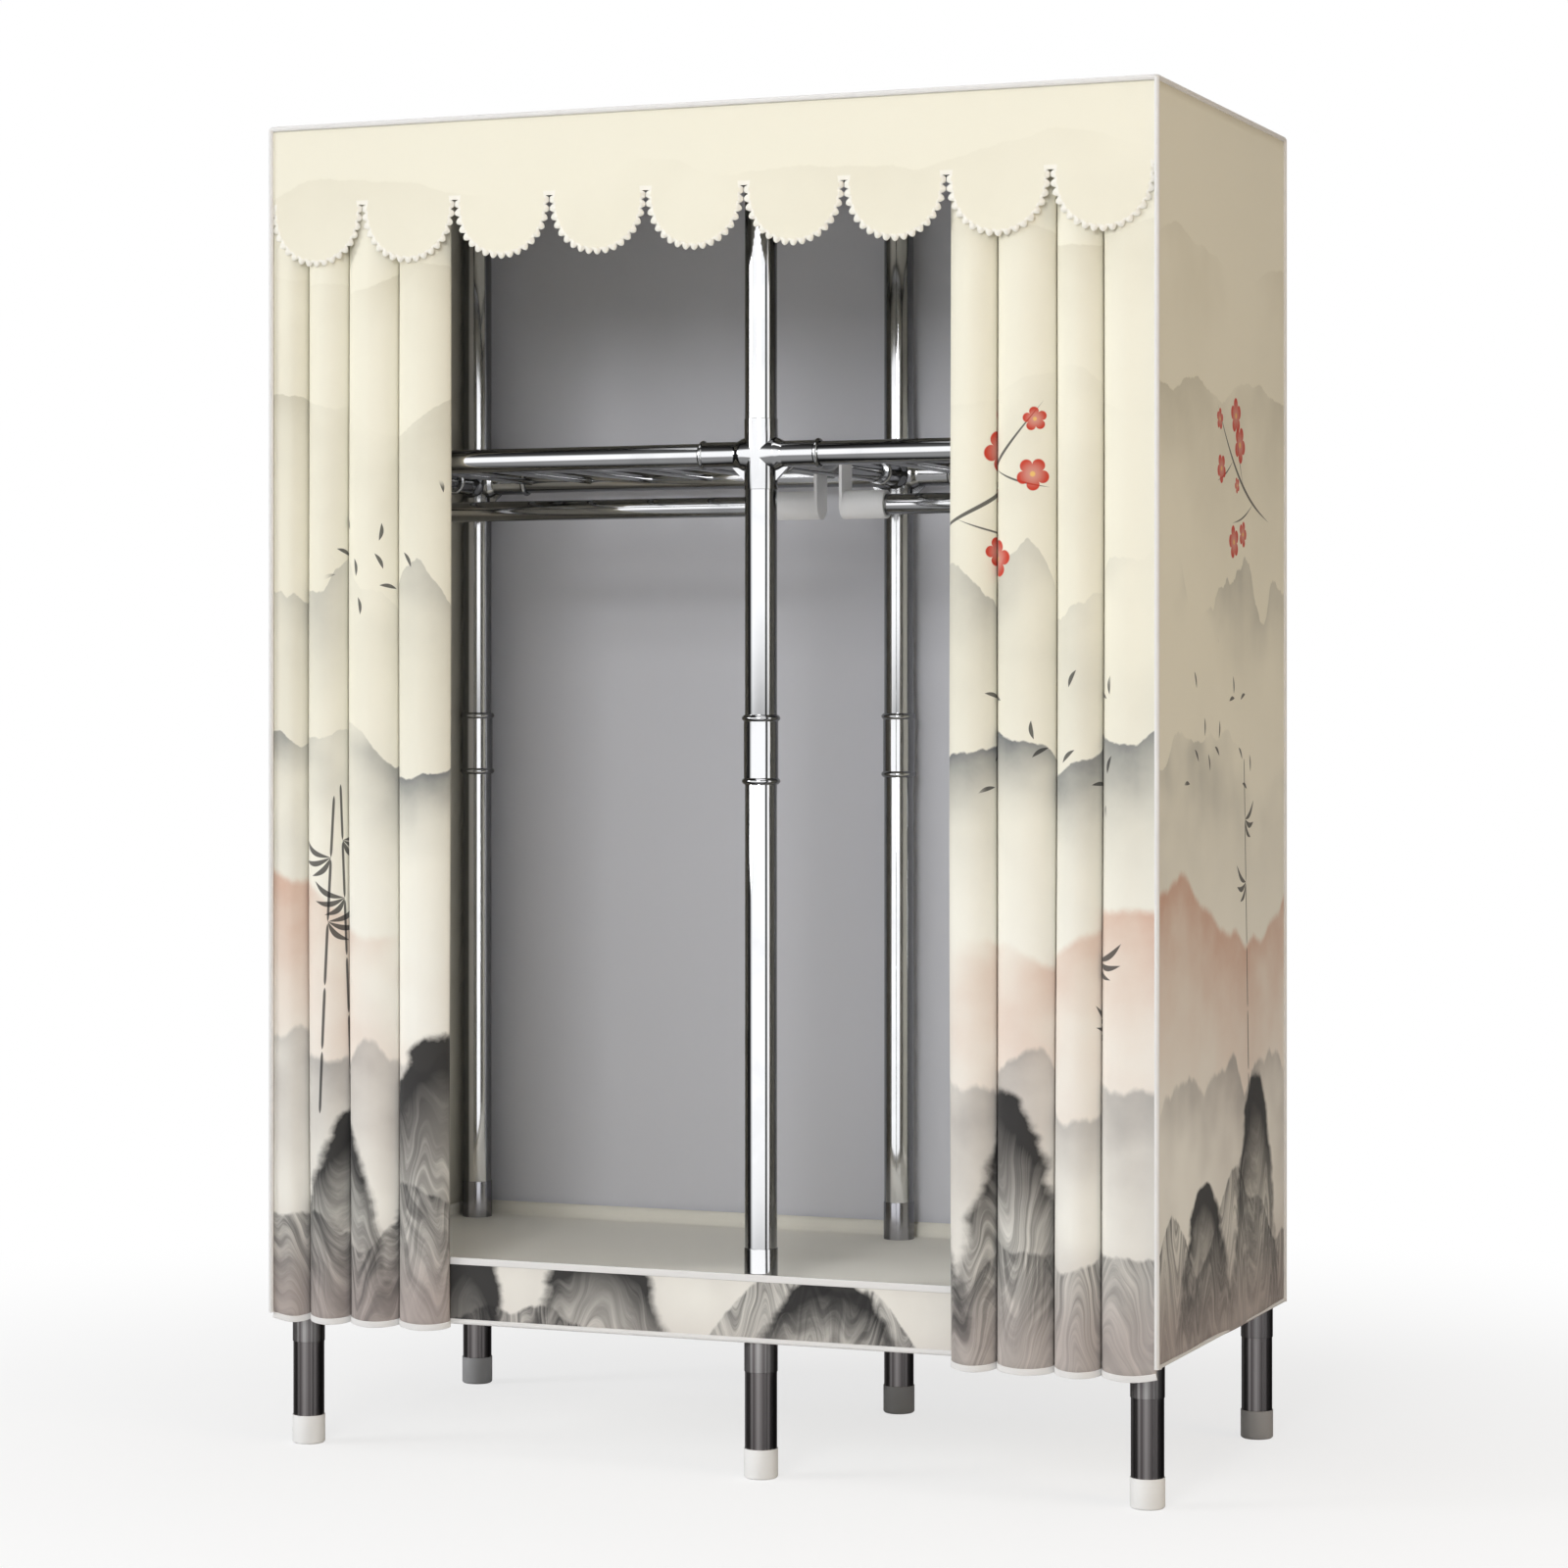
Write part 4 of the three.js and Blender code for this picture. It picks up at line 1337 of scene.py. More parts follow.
@dataclass
class Connectors:
    """The moulded connectors: a sleeve round the post and a beaded socket for each rail."""

    sleeve_wall: float = 0.5 * MM  # the wall of a sleeve
    sleeve_edge: float = 0.7 * MM  # how far its edges are rounded
    socket_wall: float = 1.3 * MM  # the wall of a socket
    socket_reach: float = 0.080  # how far a socket reaches from the post's axis
    socket_depth: float = 0.050  # how deep a rail goes into it
    bead_width: float = 6 * MM  # the width of the bead at its mouth
    bead_proud: float = 2.2 * MM  # how far the bead stands proud
    bead_steps: int = 14  # how many faces a bead has along the socket
    flare_reach: float = 0.012  # where a socket's flared root ends
    flare_steps: int = 12  # how many faces the root has along the socket
    flare_inset: float = 0.25 * MM  # how far the root is kept inside what it springs from
    web_reach: float = 16 * MM  # how far a corner web reaches
    web_thickness: float = 6 * MM  # the thickness of a web
    web_hold: float = 0.8  # where in the sleeve a web starts, as a share of the sleeve's radius

    def __post_init__(self) -> None:
        """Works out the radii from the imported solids."""
        self.sleeve_radius = LAYOUT.post_radius + GAP + self.sleeve_wall
        self.socket_radius = LAYOUT.rail_radius + GAP + self.socket_wall

    def socket(self, level: str) -> Form:
        """The outside of a socket along +Z, flared where it leaves the post.

        Args:
            level: Its level. Under the cloth of the top and the tray its root is no wider than its bead.

        Returns:
            The form.
        """
        bead = self.socket_radius + self.bead_proud
        root = (self.sleeve_radius if level == "shelf" else bead) - self.flare_inset
        start = self.socket_reach - self.bead_width
        outline = [(0, 0), (root, 0)]
        for share in (k / self.flare_steps for k in range(self.flare_steps + 1)):
            ease = share * share * (3 - 2 * share)
            radius = root + (self.socket_radius - self.flare_inset - root) * ease
            outline.append((radius, self.sleeve_radius + self.flare_reach * share))
        outline.append((self.socket_radius, start))
        for share in (k / self.bead_steps for k in range(1, self.bead_steps)):
            rise = self.bead_proud * math.sin(math.pi * share) ** 0.8
            outline.append((self.socket_radius + rise, start + self.bead_width * share))
        outline += [(self.socket_radius, self.socket_reach), (0, self.socket_reach)]
        return turned(outline)

    def web(self) -> Form:
        """A triangular web in the corner under the socket towards +X.

        Returns:
            The form.
        """
        edge, under = self.sleeve_radius, -self.socket_radius
        tip, foot, start = edge + self.web_reach, under - self.web_reach, edge * self.web_hold
        outline = [(start, foot), (edge, foot), (tip, under), (tip, 0), (start, 0)]
        return plate(outline, (-self.web_thickness / 2, self.web_thickness / 2), 1)

    def shape(self, level: str, turns: Sequence[int]) -> bpy.types.Mesh:
        """A connector at the origin.

        Args:
            level: Which level it is for.
            turns: Where its sockets point, in quarter turns from +X.

        Returns:
            The mesh.
        """
        low, high = (corner.z - LAYOUT.levels[level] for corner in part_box(f"depth_frame_left_{level}"))
        radius, mouth = self.sleeve_radius, self.socket_reach
        sleeve = rounded([(0, low), (radius, low), (radius, high), (0, high)], self.sleeve_edge, False)
        outer = [turned(sleeve)]
        top = high - self.sleeve_wall if level == "top" else high + OVERRUN
        cuts = [cylinder(LAYOUT.post_radius + FIT, low - OVERRUN, top)]
        rail = cylinder(LAYOUT.rail_radius + FIT, mouth - self.socket_depth, mouth + OVERRUN)
        for quarter in turns:
            swing = Matrix.Rotation(quarter * math.pi / 2, 4, "Z")
            outer.append(self.socket(level).moved(swing @ ALONG_X))
            if quarter % 2 == 0:
                outer.append(self.web().moved(swing))
            cuts.append(rail.moved(swing @ ALONG_X))
        return united(f"connector_{level}", outer, cuts)

    def build(self) -> None:
        """Places every connector."""
        arms = {"left": (0,), "centre": (0, 2), "right": (2,)}
        depth = {"front": 1, "back": 3}
        # The rear sleeves take a darker copy of the chrome: painted shade.
        sleeves = {"front": FRONT_SLEEVE, "back": SHADED_BACK_SLEEVE}
        for level, z in LAYOUT.levels.items():
            for column, x in LAYOUT.columns.items():
                for row, y in LAYOUT.rows.items():
                    open_cross = (level, column, row) == ("shelf", "centre", "front")
                    node = "cross_connector" if open_cross else f"depth_frame_{column}_{level}"
                    finish = sleeves[row] if level == "bottom" else CONNECTOR_CHROME
                    mesh = self.shape(level, (*arms[column], depth[row]))
                    name = f"connector_{column}_{row}_{level}"
                    piece = Piece(name, mesh, finish, Slot.CONNECTOR, nodes=(node,))
                    piece.put(Matrix.Translation((x, y, z)), smooth=20.0)


@dataclass
class Rails:
    """The rails between the connectors, the barred shelves and the hanging rods."""

    wall: float = 0.7 * MM  # the wall of a rail
    inset: float = 30.3 * MM  # how far a rail's end is from the post's axis
    bar_radius: float = 4.5 * MM  # the radius of a shelf bar
    bar_hold: float = 0.9  # how far from a rail's axis a bar ends, as a share of the rail's radius
    bars: tuple[int, int] = (6, 4)  # how many bars the shelf has in the left bay, and in the right one

    def put_tube(self, name: str, ends: Sequence[Point], radius: float, node: str) -> None:
        """Places a tube between two points.

        Args:
            name: The piece's name.
            ends: The two points.
            radius: The tube's radius.
            node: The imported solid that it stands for.
        """
        start, end = (Vector(point) for point in ends)
        along = end - start
        half = along.length / 2
        mesh = tube(radius - self.wall, radius, -half, half, 48).moved(ALONG_X).mesh("rail_tube")
        place = Matrix.Translation((start + end) / 2) @ along.to_track_quat("X", "Z").to_matrix().to_4x4()
        Piece(name, mesh, TUBE_CHROME, Slot.TUBE, nodes=(node,)).put(place)

    def build(self) -> None:
        """Places every rail, shelf bar and hanging rod."""
        radius, levels, rows = LAYOUT.rail_radius, LAYOUT.levels, LAYOUT.rows
        for (side, (low, high)), count in zip(BAYS.items(), self.bars):
            for row, y in rows.items():
                for level, z in levels.items():
                    node = f"shelf_{side}" if level == "shelf" else f"{level}_rail_{side}_{row}"
                    ends = (low + self.inset, y, z), (high - self.inset, y, z)
                    self.put_tube(f"{level}_tube_{side}_{row}", ends, radius, node)
            hold = radius * self.bar_hold
            for i in range(1, count + 1):
                x = low + (high - low) * i / (count + 1)
                ends = (x, rows["front"] + hold, levels["shelf"]), (x, rows["back"] - hold, levels["shelf"])
                self.put_tube(f"shelf_bar_{side}_{i}", ends, self.bar_radius, f"shelf_{side}")
            rod = f"hanging_rod_{side}"
            ends = [(corner.x, *middle(rod).yz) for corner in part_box(rod)]
            self.put_tube(f"clothes_rod_{side}", ends, max(half_size(rod).yz), rod)
        for column, x in LAYOUT.columns.items():
            for level, z in levels.items():
                ends = (x, rows["front"] + self.inset, z), (x, rows["back"] - self.inset, z)
                self.put_tube(f"depth_tube_{column}_{level}", ends, radius, f"depth_frame_{column}_{level}")


@dataclass
class RodCups:
    """The plastic cups that carry the hanging rods, each hooked over a depth rail."""

    wall: float = 5 * MM  # the wall of a cup
    floor: float = 6 * MM  # the thickness of its floor
    edge: float = 1.1 * MM  # how far its edges are rounded
    hook_wall: float = 4 * MM  # the thickness of its hook and plate
    hook_width: float = 14 * MM  # the width of its hook
    hook_edge: float = 1.2 * MM  # how far the hook's edges are rounded
    tip_gap: float = 1.2 * MM  # the gap between the hook's tip and the plate
    stagger: float = 8 * MM  # how far the hook is from the cup's middle, so that two fit on one rail
    steps: int = 20  # how many faces the hook and the plate's foot have round them

    def shape(self, drop: float, length: float, rod_radius: float) -> bpy.types.Mesh:
        """A cup that opens towards +X, its hook over the rail at the origin.

        Args:
            drop: How far the rod's axis is below the rail's.
            length: The cup's length.
            rod_radius: The radius of the hanging rod.

        Returns:
            The mesh.
        """
        inner, bore = LAYOUT.rail_radius + GAP, rod_radius + GAP
        outside, mouth, floor = bore + self.wall, inner + length, inner + self.floor
        outline = [(0, inner), (outside, inner), (outside, mouth), (bore, mouth), (bore, floor), (0, floor)]
        cup = turned(rounded(outline, self.edge, False)).moved(Matrix.Translation((0, 0, -drop)) @ ALONG_X)
        foot = [math.pi * k / self.steps for k in range(self.steps + 1)]
        outline = [(-outside * math.cos(a), -drop - outside * math.sin(a)) for a in foot]
        outline = [(-outside, self.hook_wall), *outline, (outside, self.hook_wall)]
        backing = plate(outline, (inner, inner + self.hook_wall), 0)
        sweep = math.pi - math.asin((self.hook_wall + self.tip_gap) / inner)
        radius = inner + self.hook_wall / 2
        turn = [sweep * k / self.steps for k in range(self.steps + 1)]
        path = [Vector((radius * math.cos(a), self.stagger, radius * math.sin(a))) for a in turn]
        section = rounded(oblong(self.hook_wall / 2, self.hook_width / 2), self.hook_edge, True)
        return united("rod_cup", [cup, backing, swept(path, section, Vector((0, 1, 0)))])

    def build(self) -> None:
        """Places the four cups."""
        axis = LAYOUT.levels["shelf"]
        for side, (low, high) in BAYS.items():
            rod = f"hanging_rod_{side}"
            for end, x, way in (("start", low, 0), ("end", high, 1)):
                node = f"rod_cup_{side}_{end}"
                reach = abs(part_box(node)[1 - way].x - x)
                length = reach - LAYOUT.rail_radius - GAP
                mesh = self.shape(axis - middle(rod).z, length, max(half_size(rod).yz))
                place = Matrix.Translation((x, middle(rod).y, axis)) @ Matrix.Rotation(way * math.pi, 4, "Z")
                Piece(f"cup_{side}_{end}", mesh, CUP_GREY, Slot.CUP, nodes=(node,)).put(place, smooth=35.0)


@dataclass
class CurtainRod:
    """The bent curtain rod, its two bosses and its middle clip."""

    radius: float = 5 * MM  # the rod's radius
    bend: float = 9 * MM  # the radius of its bends
    boss_wall: float = 3 * MM  # the wall of a boss
    boss_edge: float = 0.6 * MM  # how far its edges are rounded
    boss_front: float = 1.8 * MM  # the gap between the rod's straight part and a boss
    boss_back: float = 0.5 * MM  # the gap between a boss and the post
    clip_width: float = 9 * MM  # the width of the clip
    clip_wall: float = 1.6 * MM  # the wall of the clip
    clip_reach: float = 2.1 * MM  # how much wider than a rail the socket is that the clip holds
    arm: float = 3 * MM  # half the height of the clip's arm
    arm_inset: float = 0.2 * MM  # how much narrower than the clip the arm is at each side

    def build(self) -> None:
        """Places the rod, the bosses and the clip."""
        low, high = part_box("curtain_rod")
        z, y = (low.z + high.z) / 2, low.y + self.radius
        ends = (("left", -1), ("right", 1))
        turn = [(1 - math.sin(math.pi * k / 16), 1 - math.cos(math.pi * k / 16)) for k in range(9)]
        path = []
        for side, way in ends:
            x = LAYOUT.columns[side]
            leg = [Vector((x - way * self.bend * across, y + self.bend * back, z)) for across, back in turn]
            leg.append(Vector((x, high.y, z)))
            path += leg[::way]
        rod = swept(path, circle(self.radius, 24), UP).mesh("curtain_rod")
        Piece("bent_curtain_rod", rod, TUBE_CHROME, Slot.TUBE, nodes=("curtain_rod",)).put()
        outer = self.radius + GAP + self.boss_wall
        mouth = y + self.radius + self.boss_front
        back = LAYOUT.rows["front"] - LAYOUT.post_radius - self.boss_back
        boss = tube(self.radius + 2 * FIT, outer, mouth, back, 32, self.boss_edge, 3)
        for side, _ in ends:
            mesh = boss.moved(Matrix.Translation((LAYOUT.columns[side], 0, z)) @ ALONG_Y).mesh("rod_boss")
            nodes = (f"depth_frame_{side}_top",)
            Piece(f"rod_boss_{side}", mesh, CONNECTOR_CHROME, Slot.CONNECTOR, nodes=nodes).put()
        self.clip(y, z)

    def clip(self, rod_y: float, rod_z: float) -> None:
        """Places the clip that holds the rod's middle on a socket of the centre connector.

        Args:
            rod_y: The rod's Y.
            rod_z: Its height.
        """
        x = middle("curtain_rod_clip").x
        socket = LAYOUT.rail_radius + self.clip_reach
        front, half = LAYOUT.rows["front"], self.clip_width / 2
        outer, cuts = [], []
        for radius, y, z in ((socket, front, LAYOUT.levels["top"]), (self.radius + GAP, rod_y, rod_z)):
            place = Matrix.Translation((x, y, z)) @ ALONG_X
            cut = half + OVERRUN / 2
            outer.append(cylinder(radius + self.clip_wall, -half, half, 32).moved(place))
            cuts.append(cylinder(radius, -cut, cut, 32).moved(place))
        end, low, high = front - socket / 2, rod_z - self.arm, rod_z + self.arm
        reach = half - self.arm_inset
        arm = plate([(rod_y, low), (end, low), (end, high), (rod_y, high)], (x - reach, x + reach), 0)
        mesh = united("rod_clip", [*outer, arm], cuts)
        Piece("middle_rod_clip", mesh, WHITE_CAP, Slot.CAP, nodes=("curtain_rod_clip",)).put(smooth=35.0)


@dataclass
class Curtain:
    """One curtain, gathered to four folds, with its rings, tabs and hem band."""

    side: str  # the side that it hangs on
    finish: Cloth  # its print
    # How far each fold's inner edge lies from its solid's, towards the middle of the front
    valleys: tuple[float, float, float, float]
    pinch: float = 0.30  # how far a fold's feet are drawn in under it, as a share of its half width
    belly: float = 0.18  # how far from the back a fold is widest, as a share of its depth
    corner: float = 0.97  # how far from the back the curtain is sewn to the corner, as a share of its depth
    roundness: float = 1.8  # how square a fold's front is
    sewn: float = 1.03  # how far the sewn corner reaches, as a share of its fold's half width
    turned_in: float = 12 * MM  # how wide the leading edge's fold back is
    turned_off: float = 1.5 * MM  # how far its edge stands off the fold
    head_drop: float = 18 * MM  # how far the curtain's head is below the rod
    hem_drop: float = 5 * MM  # how much lower the hem hangs at a fold's front than at its back
    still: float = 35 * MM  # how far from the corner the cloth is held still by its seam
    sway_reach: float = 1.5 * MM  # how far the folds sway aside
    fold_gap: float = 1.5 * MM  # the gap between the middles of the cloth of two folds
    spacing: float = 2.2 * MM  # the distance between two columns of the mesh
    rows: int = 96  # how many rows the mesh has
    band: float = 8 * MM  # the height of the hem band
    band_thickness: float = 2.4 * MM  # the thickness of the hem band
    band_edge: float = 1 * MM  # how far its edges are rounded
    band_drop: float = 1 * MM  # how far the band reaches below the cloth
    rod_radius: float = 5 * MM  # the radius of the rod that the rings hang on
    ring_wire: float = 1.5 * MM  # the radius of a ring's wire
    ring_radius: float = 11 * MM  # a ring's outer radius
    tab_width: float = 6 * MM  # the width of a tab
    tab_thickness: float = 0.8 * MM  # its thickness

    def __post_init__(self) -> None:
        """Reads the folds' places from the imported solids."""
        self.nodes = tuple(f"{self.side}_curtain_fold_{i}" for i in range(1, 5))
        self.folds = [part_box(node) for node in self.nodes]
        self.inward = 1 if self.side == "left" else -1
        self.hem = self.folds[0][0].z
        self.front = self.folds[0][0].y + LAYOUT.cloth / 2
        self.back = self.folds[0][1].y - LAYOUT.cloth / 2
        self.head = middle("curtain_rod").z - self.head_drop
        self.plan = self.make_plan()
        self.flat = lengths(self.plan)
        from_corner = np.minimum(1.0, np.abs(self.plan[:, 0] - self.plan[0, 0]) / self.still)
        depth = (self.back - self.plan[:, 1]) / (self.back - self.front)
        self.droop = self.hem_drop * depth * np.sin(from_corner * math.pi / 2)

    def make_plan(self) -> np.ndarray:
        """The curtain seen from above, from the corner to the leading edge, at even spacing.

        Returns:
            The points' X and Y.
        """
        points = []
        depth = self.back - self.front
        power = 2 / self.roundness
        turn = [math.pi / 2 * k / 12 for k in range(13)]
        foot = [(1 - self.pinch * (1 - math.sin(a)), self.belly * (1 - math.cos(a))) for a in turn[:-1]]
        arc = [(math.cos(a) ** power, self.belly + (1 - self.belly) * math.sin(a) ** power) for a in turn]
        sewn = [(self.sewn * math.cos(a), self.corner + (1 - self.corner) * math.sin(a)) for a in turn]
        shifts = (0.0, *self.valleys)
        for number, (low, high) in enumerate(self.folds):
            outer_shift, inner_shift = shifts[number], shifts[number + 1]
            centre = (low.x + high.x + self.inward * (outer_shift + inner_shift)) / 2
            half = (high.x - low.x - self.fold_gap + inner_shift - outer_shift) / 2
            outer = foot + arc if number else sewn
            shape = [(-across, rise) for across, rise in outer] + (foot + arc)[-2::-1]
            points += [
                (centre + self.inward * half * across, self.back - depth * rise) for across, rise in shape
            ]
        lead, inward = points[-1][0], self.inward * self.turned_in
        points += [(lead - inward, self.back), (lead - 2 * inward, self.back - self.turned_off)]
        plan = np.array(points)
        reach = lengths(plan)
        even = np.linspace(0, reach[-1], int(reach[-1] / self.spacing))
        return read_at(even, reach, plan)

    def sway(self, x: float, y: float, z: float) -> Flat:
        """Moves a point of the plan a little with its height, as hanging folds do.

        Args:
            x: The point's X in the plan.
            y: The point's Y in the plan.
            z: Its height.

        Returns:
            The moved X and Y.
        """
        corner = self.folds[0][0 if self.side == "left" else 1].x
        inside = min(1.0, abs(x - corner) / 0.05)
        low = 1 - (z - self.hem) / (self.head - self.hem)
        wave = math.sin(9.0 * x + 2.3 * z) + 0.6 * math.sin(23.0 * x - 4.1 * z + 1.3)
        x += self.sway_reach * wave * inside * (0.3 + low)
        shallow = inside * (0.03 * (1 + math.sin(31.0 * x + 3.7 * z)) + 0.05 * (1 - low) ** 3)
        return x, self.back - (self.back - y) * (1 - shallow)

    def build(self) -> None:
        """Places the curtain, its hem band, its rings and its tabs."""
        height = self.head - self.hem
        count = len(self.plan)

        def at(s: float, t: float) -> tuple[Point, Flat]:
            """The curtain's point and flat place.

            Args:
                s: The share from the corner to the leading edge.
                t: The share from the hem up.

            Returns:
                The point and the place.
            """
            i = round(s * (count - 1))
            z = self.hem + height * t
            x, y = self.sway(*self.plan[i], z)
            return (x, y, z - self.droop[i] * (1 - t) ** 6), (self.flat[i], z - LAYOUT.hem)

        form = sheet(at, count, self.rows)
        form.faces = [face[:: self.inward] for face in form.faces]
        piece = Piece(f"{self.side}_curtain", form.mesh("curtain"), self.finish, Slot.CURTAIN, "", self.nodes)
        cloth = piece.put_cloth(LAYOUT.cloth * 0.8, REVERSE)
        band = self.hem_band()
        for made in (cloth, band):
            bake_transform(made)
        rings = [self.ring(i) for i in range(4)]

    def hem_band(self) -> bpy.types.Object:
        """The white band folded over the curtain's lower edge.

        Returns:
            The piece.
        """
        rise = self.band / 2 - self.band_drop
        path = [
            Vector((*self.sway(x, y, self.hem), self.hem + rise - droop))
            for (x, y), droop in zip(self.plan, self.droop)
        ]
        section = rounded(oblong(self.band_thickness / 2, self.band / 2), self.band_edge, True, 2)
        form = swept(path, section, UP)
        form.places = [(along, up) for along in self.flat for _, up in section]
        name = f"{self.side}_curtain_hem"
        return Piece(name, form.mesh("hem_band"), BINDING, Slot.CURTAIN, "").put(smooth=60.0)

    def ring_x(self, i: int) -> float:
        """Where a fold's ring hangs: a quarter of the fold past its middle."""
        low, high = self.folds[i]
        return (low.x + high.x) / 2 + self.inward * (high.x - low.x + GAP) / 4

    def ring(self, i: int) -> bpy.types.Object:
        """Places one ring and the tab that ties it to the heading.

        Args:
            i: The number of its fold, from 0.

        Returns:
            The ring.
        """
        body = ("root", f"{self.side}_second", f"{self.side}_third", f"{self.side}_lead")[i]
        rod_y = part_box("curtain_rod")[0].y + self.rod_radius
        inside = self.ring_radius - self.ring_wire
        centre = Vector((self.ring_x(i), rod_y, self.folds[i][1].z - self.ring_radius))
        turn = [TURN * k / 40 for k in range(40)]
        loop = [centre + Vector((0, math.cos(a), math.sin(a))) * inside for a in turn]
        mesh = swept(loop, circle(self.ring_wire, 12), ASIDE, closed=True).mesh("curtain_ring")
        ring = Piece(f"{self.side}_curtain_ring_{i + 1}", mesh, RING_WHITE, Slot.CAP, body).put(smooth=80.0)
        head, foot = self.head, centre.z - inside
        line = ((-5.0, head, -14), (-2.4, head, -2), (-1.2, foot, 0.4), (1.2, foot, 0.4), (2.0, head, -2))
        line += ((-2.6, head, -12),)
        path = [Vector((centre.x, rod_y + y * MM, base + rise * MM)) for y, base, rise in line]
        strap = oblong(self.tab_thickness / 2, self.tab_width / 2)
        mesh = swept(path, strap, ASIDE).laid(0, 1).mesh("tab")
        Piece(f"{self.side}_curtain_tab_{i + 1}", mesh, BINDING, Slot.CURTAIN, body).put()
        return ring


@dataclass
class Cover:
    """The cover: top, sides, back and valance, with piping along its seams."""

    piping: float = 3.2 * MM  # the radius of the piping
    piping_turn: float = 5 * MM  # how far from a corner the piping round the top starts to bend
    hem_inset: float = 2 * MM  # how far the panels stop short of their seams' planes
    top_sag: float = 5 * MM  # how far the top sags between the frame's lines
    # How far from the frame's lines the top starts to sag, so that it clears the connectors
    clear: float = 24 * MM
    belly: float = 1.8 * MM  # how far a panel bellies out
    fold: float = 2.6 * MM  # how far its soft folds stand out
    back_share: float = 0.6  # how much of that the back panel has
    scallops: int = 9  # how many scallops the valance has
    notch: float = 0.104  # how far the notches between them are below the top
    drop: float = 0.181  # how far the scallops reach below the top
    picot: float = 10.8 * MM  # the pitch of the small rounds along the scallops
    picot_steps: int = 9  # how many points draw a small round
    picot_height: float = 6.4 * MM  # how far a small round stands out
    notch_gap: float = 5.4 * MM  # half the width of a notch at its top
    rim: float = 4 * MM  # the width of the pale rim along the scallops
    valance_inset: float = 0.5 * MM  # how far the valance's ends are from the corners
    valance_top: float = 1.5 * MM  # how far its upper edge is below the top
    seam_reach: float = 2 * MM  # how far below the top the piping's painted shadow line along the seam reaches
    grid: float = 9.5 * MM  # the distance between two of its inner points
    # How far they keep from the notches, the scallops and the scallops' sides
    grid_clear: Point = (6 * MM, 9 * MM, 8 * MM)

    def __post_init__(self) -> None:
        """Works out the cover's size, and the size of a scallop without its picots."""
        low, high = LAYOUT.low, LAYOUT.high
        self.width, self.depth, self.height = high.x - low.x, high.y - low.y, high.z - LAYOUT.hem
        self.pitch = self.width / self.scallops
        self.scallop_half = self.pitch / 2 - self.notch_gap
        self.scallop_deep = self.drop - self.notch - self.picot_height

    def build(self) -> None:
        """Places every panel, the valance and the piping."""
        low, high, half = LAYOUT.low, LAYOUT.high, LAYOUT.cloth / 2
        seams = self.seams()
        self.top_panel(seams["top"])
        depth = self.depth
        finishes = {"left": LEFT_SIDE_PRINT, "right": RIGHT_SIDE_PRINT}
        for side, x, out in (("left", low.x + half, -1), ("right", high.x - half, 1)):

            def at(s: float, t: float, x: float = x, out: int = out) -> tuple[Point, Flat]:
                """A side panel's point and flat place, across it as seen from outside, and up."""
                y = low.y + depth * (s if out > 0 else 1 - s)
                return (x + out * self.hang(s, t, 1.3 * out), y, self.rise(t)), (depth * s, self.height * t)

            mesh, nodes = sheet(at, 72, 110).mesh("side"), (f"cover_{side}",)
            piece = Piece(f"{side}_panel", mesh, finishes[side], Slot.COVER, nodes=nodes)
            panel = piece.put_cloth(LAYOUT.cloth, REVERSE)
        self.back_panel(high.y - half, seams["back"])
        self.valance()

    def top_panel(self, seams: list[bpy.types.Object]) -> None:
        """Places the top, which sags in both bays.

        Args:
            seams: The piping that goes with it; not used.
        """
        low, rows, clear = LAYOUT.low, LAYOUT.rows, self.clear
        width, depth = self.width, self.depth
        surface = LAYOUT.high.z - LAYOUT.cloth / 2

        def at(s: float, t: float) -> tuple[Point, Flat]:
            """The top's point and flat place.

            Args:
                s: The share from the left.
                t: The share from the front.

            Returns:
                The point and the place.
            """
            x, y = low.x + width * s, low.y + depth * t
            across = sum(arch(x, start + clear, end - clear) for start, end in BAYS.values())
            along = arch(y, rows["front"] + clear, rows["back"] - clear) ** 0.7
            ripple = 0.5 * MM * math.sin(13 * x + 6 * y)
            return (x, y, surface - (self.top_sag - ripple) * across * along), (width * s, depth * t)

        piece = Piece("top_panel", sheet(at, 96, 48).mesh("top"), TOP_PRINT, Slot.COVER, nodes=("cover_top",))
        panel = piece.put_cloth(LAYOUT.cloth, REVERSE)

    def rise(self, t: float) -> float:
        """The height of a hanging panel at a share upward."""
        return LAYOUT.hem + (self.height - self.hem_inset) * t

    def hang(self, s: float, t: float, phase: float) -> float:
        """How far a hanging panel bellies out: nothing at its seams, with soft upright folds.

        Args:
            s: The share across.
            t: The share upward.
            phase: Which stretch of the folds it shows.

        Returns:
            The distance outward.
        """
        free = math.sin(math.pi * s) ** 0.6 * math.sin(math.pi * min(1.0, t * 0.5 + 0.5)) ** 0.8
        fold = math.sin(9.5 * s + 1.7 * t + phase) * 0.5 + math.sin(21.0 * s - 2.6 * t + 2 * phase) * 0.25
        return free * (self.belly + self.fold * fold * (1.15 - t))

    def back_panel(self, y: float, seams: list[bpy.types.Object]) -> None:
        """Places the grey back panel.

        Args:
            y: Its Y at the seams.
            seams: The piping that goes with it; not used.
        """
        def at(s: float, t: float) -> tuple[Point, Flat]:
            """The back's point and flat place.

            Args:
                s: The share across it, as seen from behind.
                t: The share from the hem up.

            Returns:
                The point and the place.
            """
            x = LAYOUT.low.x + self.width * (1 - s)
            out = self.back_share * self.hang(s, t, 0.4)
            return (x, y + out, self.rise(t)), (self.width * s, self.height * t)

        mesh = sheet(at, 110, 110).mesh("back")
        panel = Piece("back_panel", mesh, GREY_CLOTH, Slot.BACK, nodes=("cover_back",))
        # Its inner face is a lighter copy of the grey cloth: painted light for the dim interior.
        cloth = panel.put_cloth(LAYOUT.cloth, LIGHTENED_BACK_INSIDE)

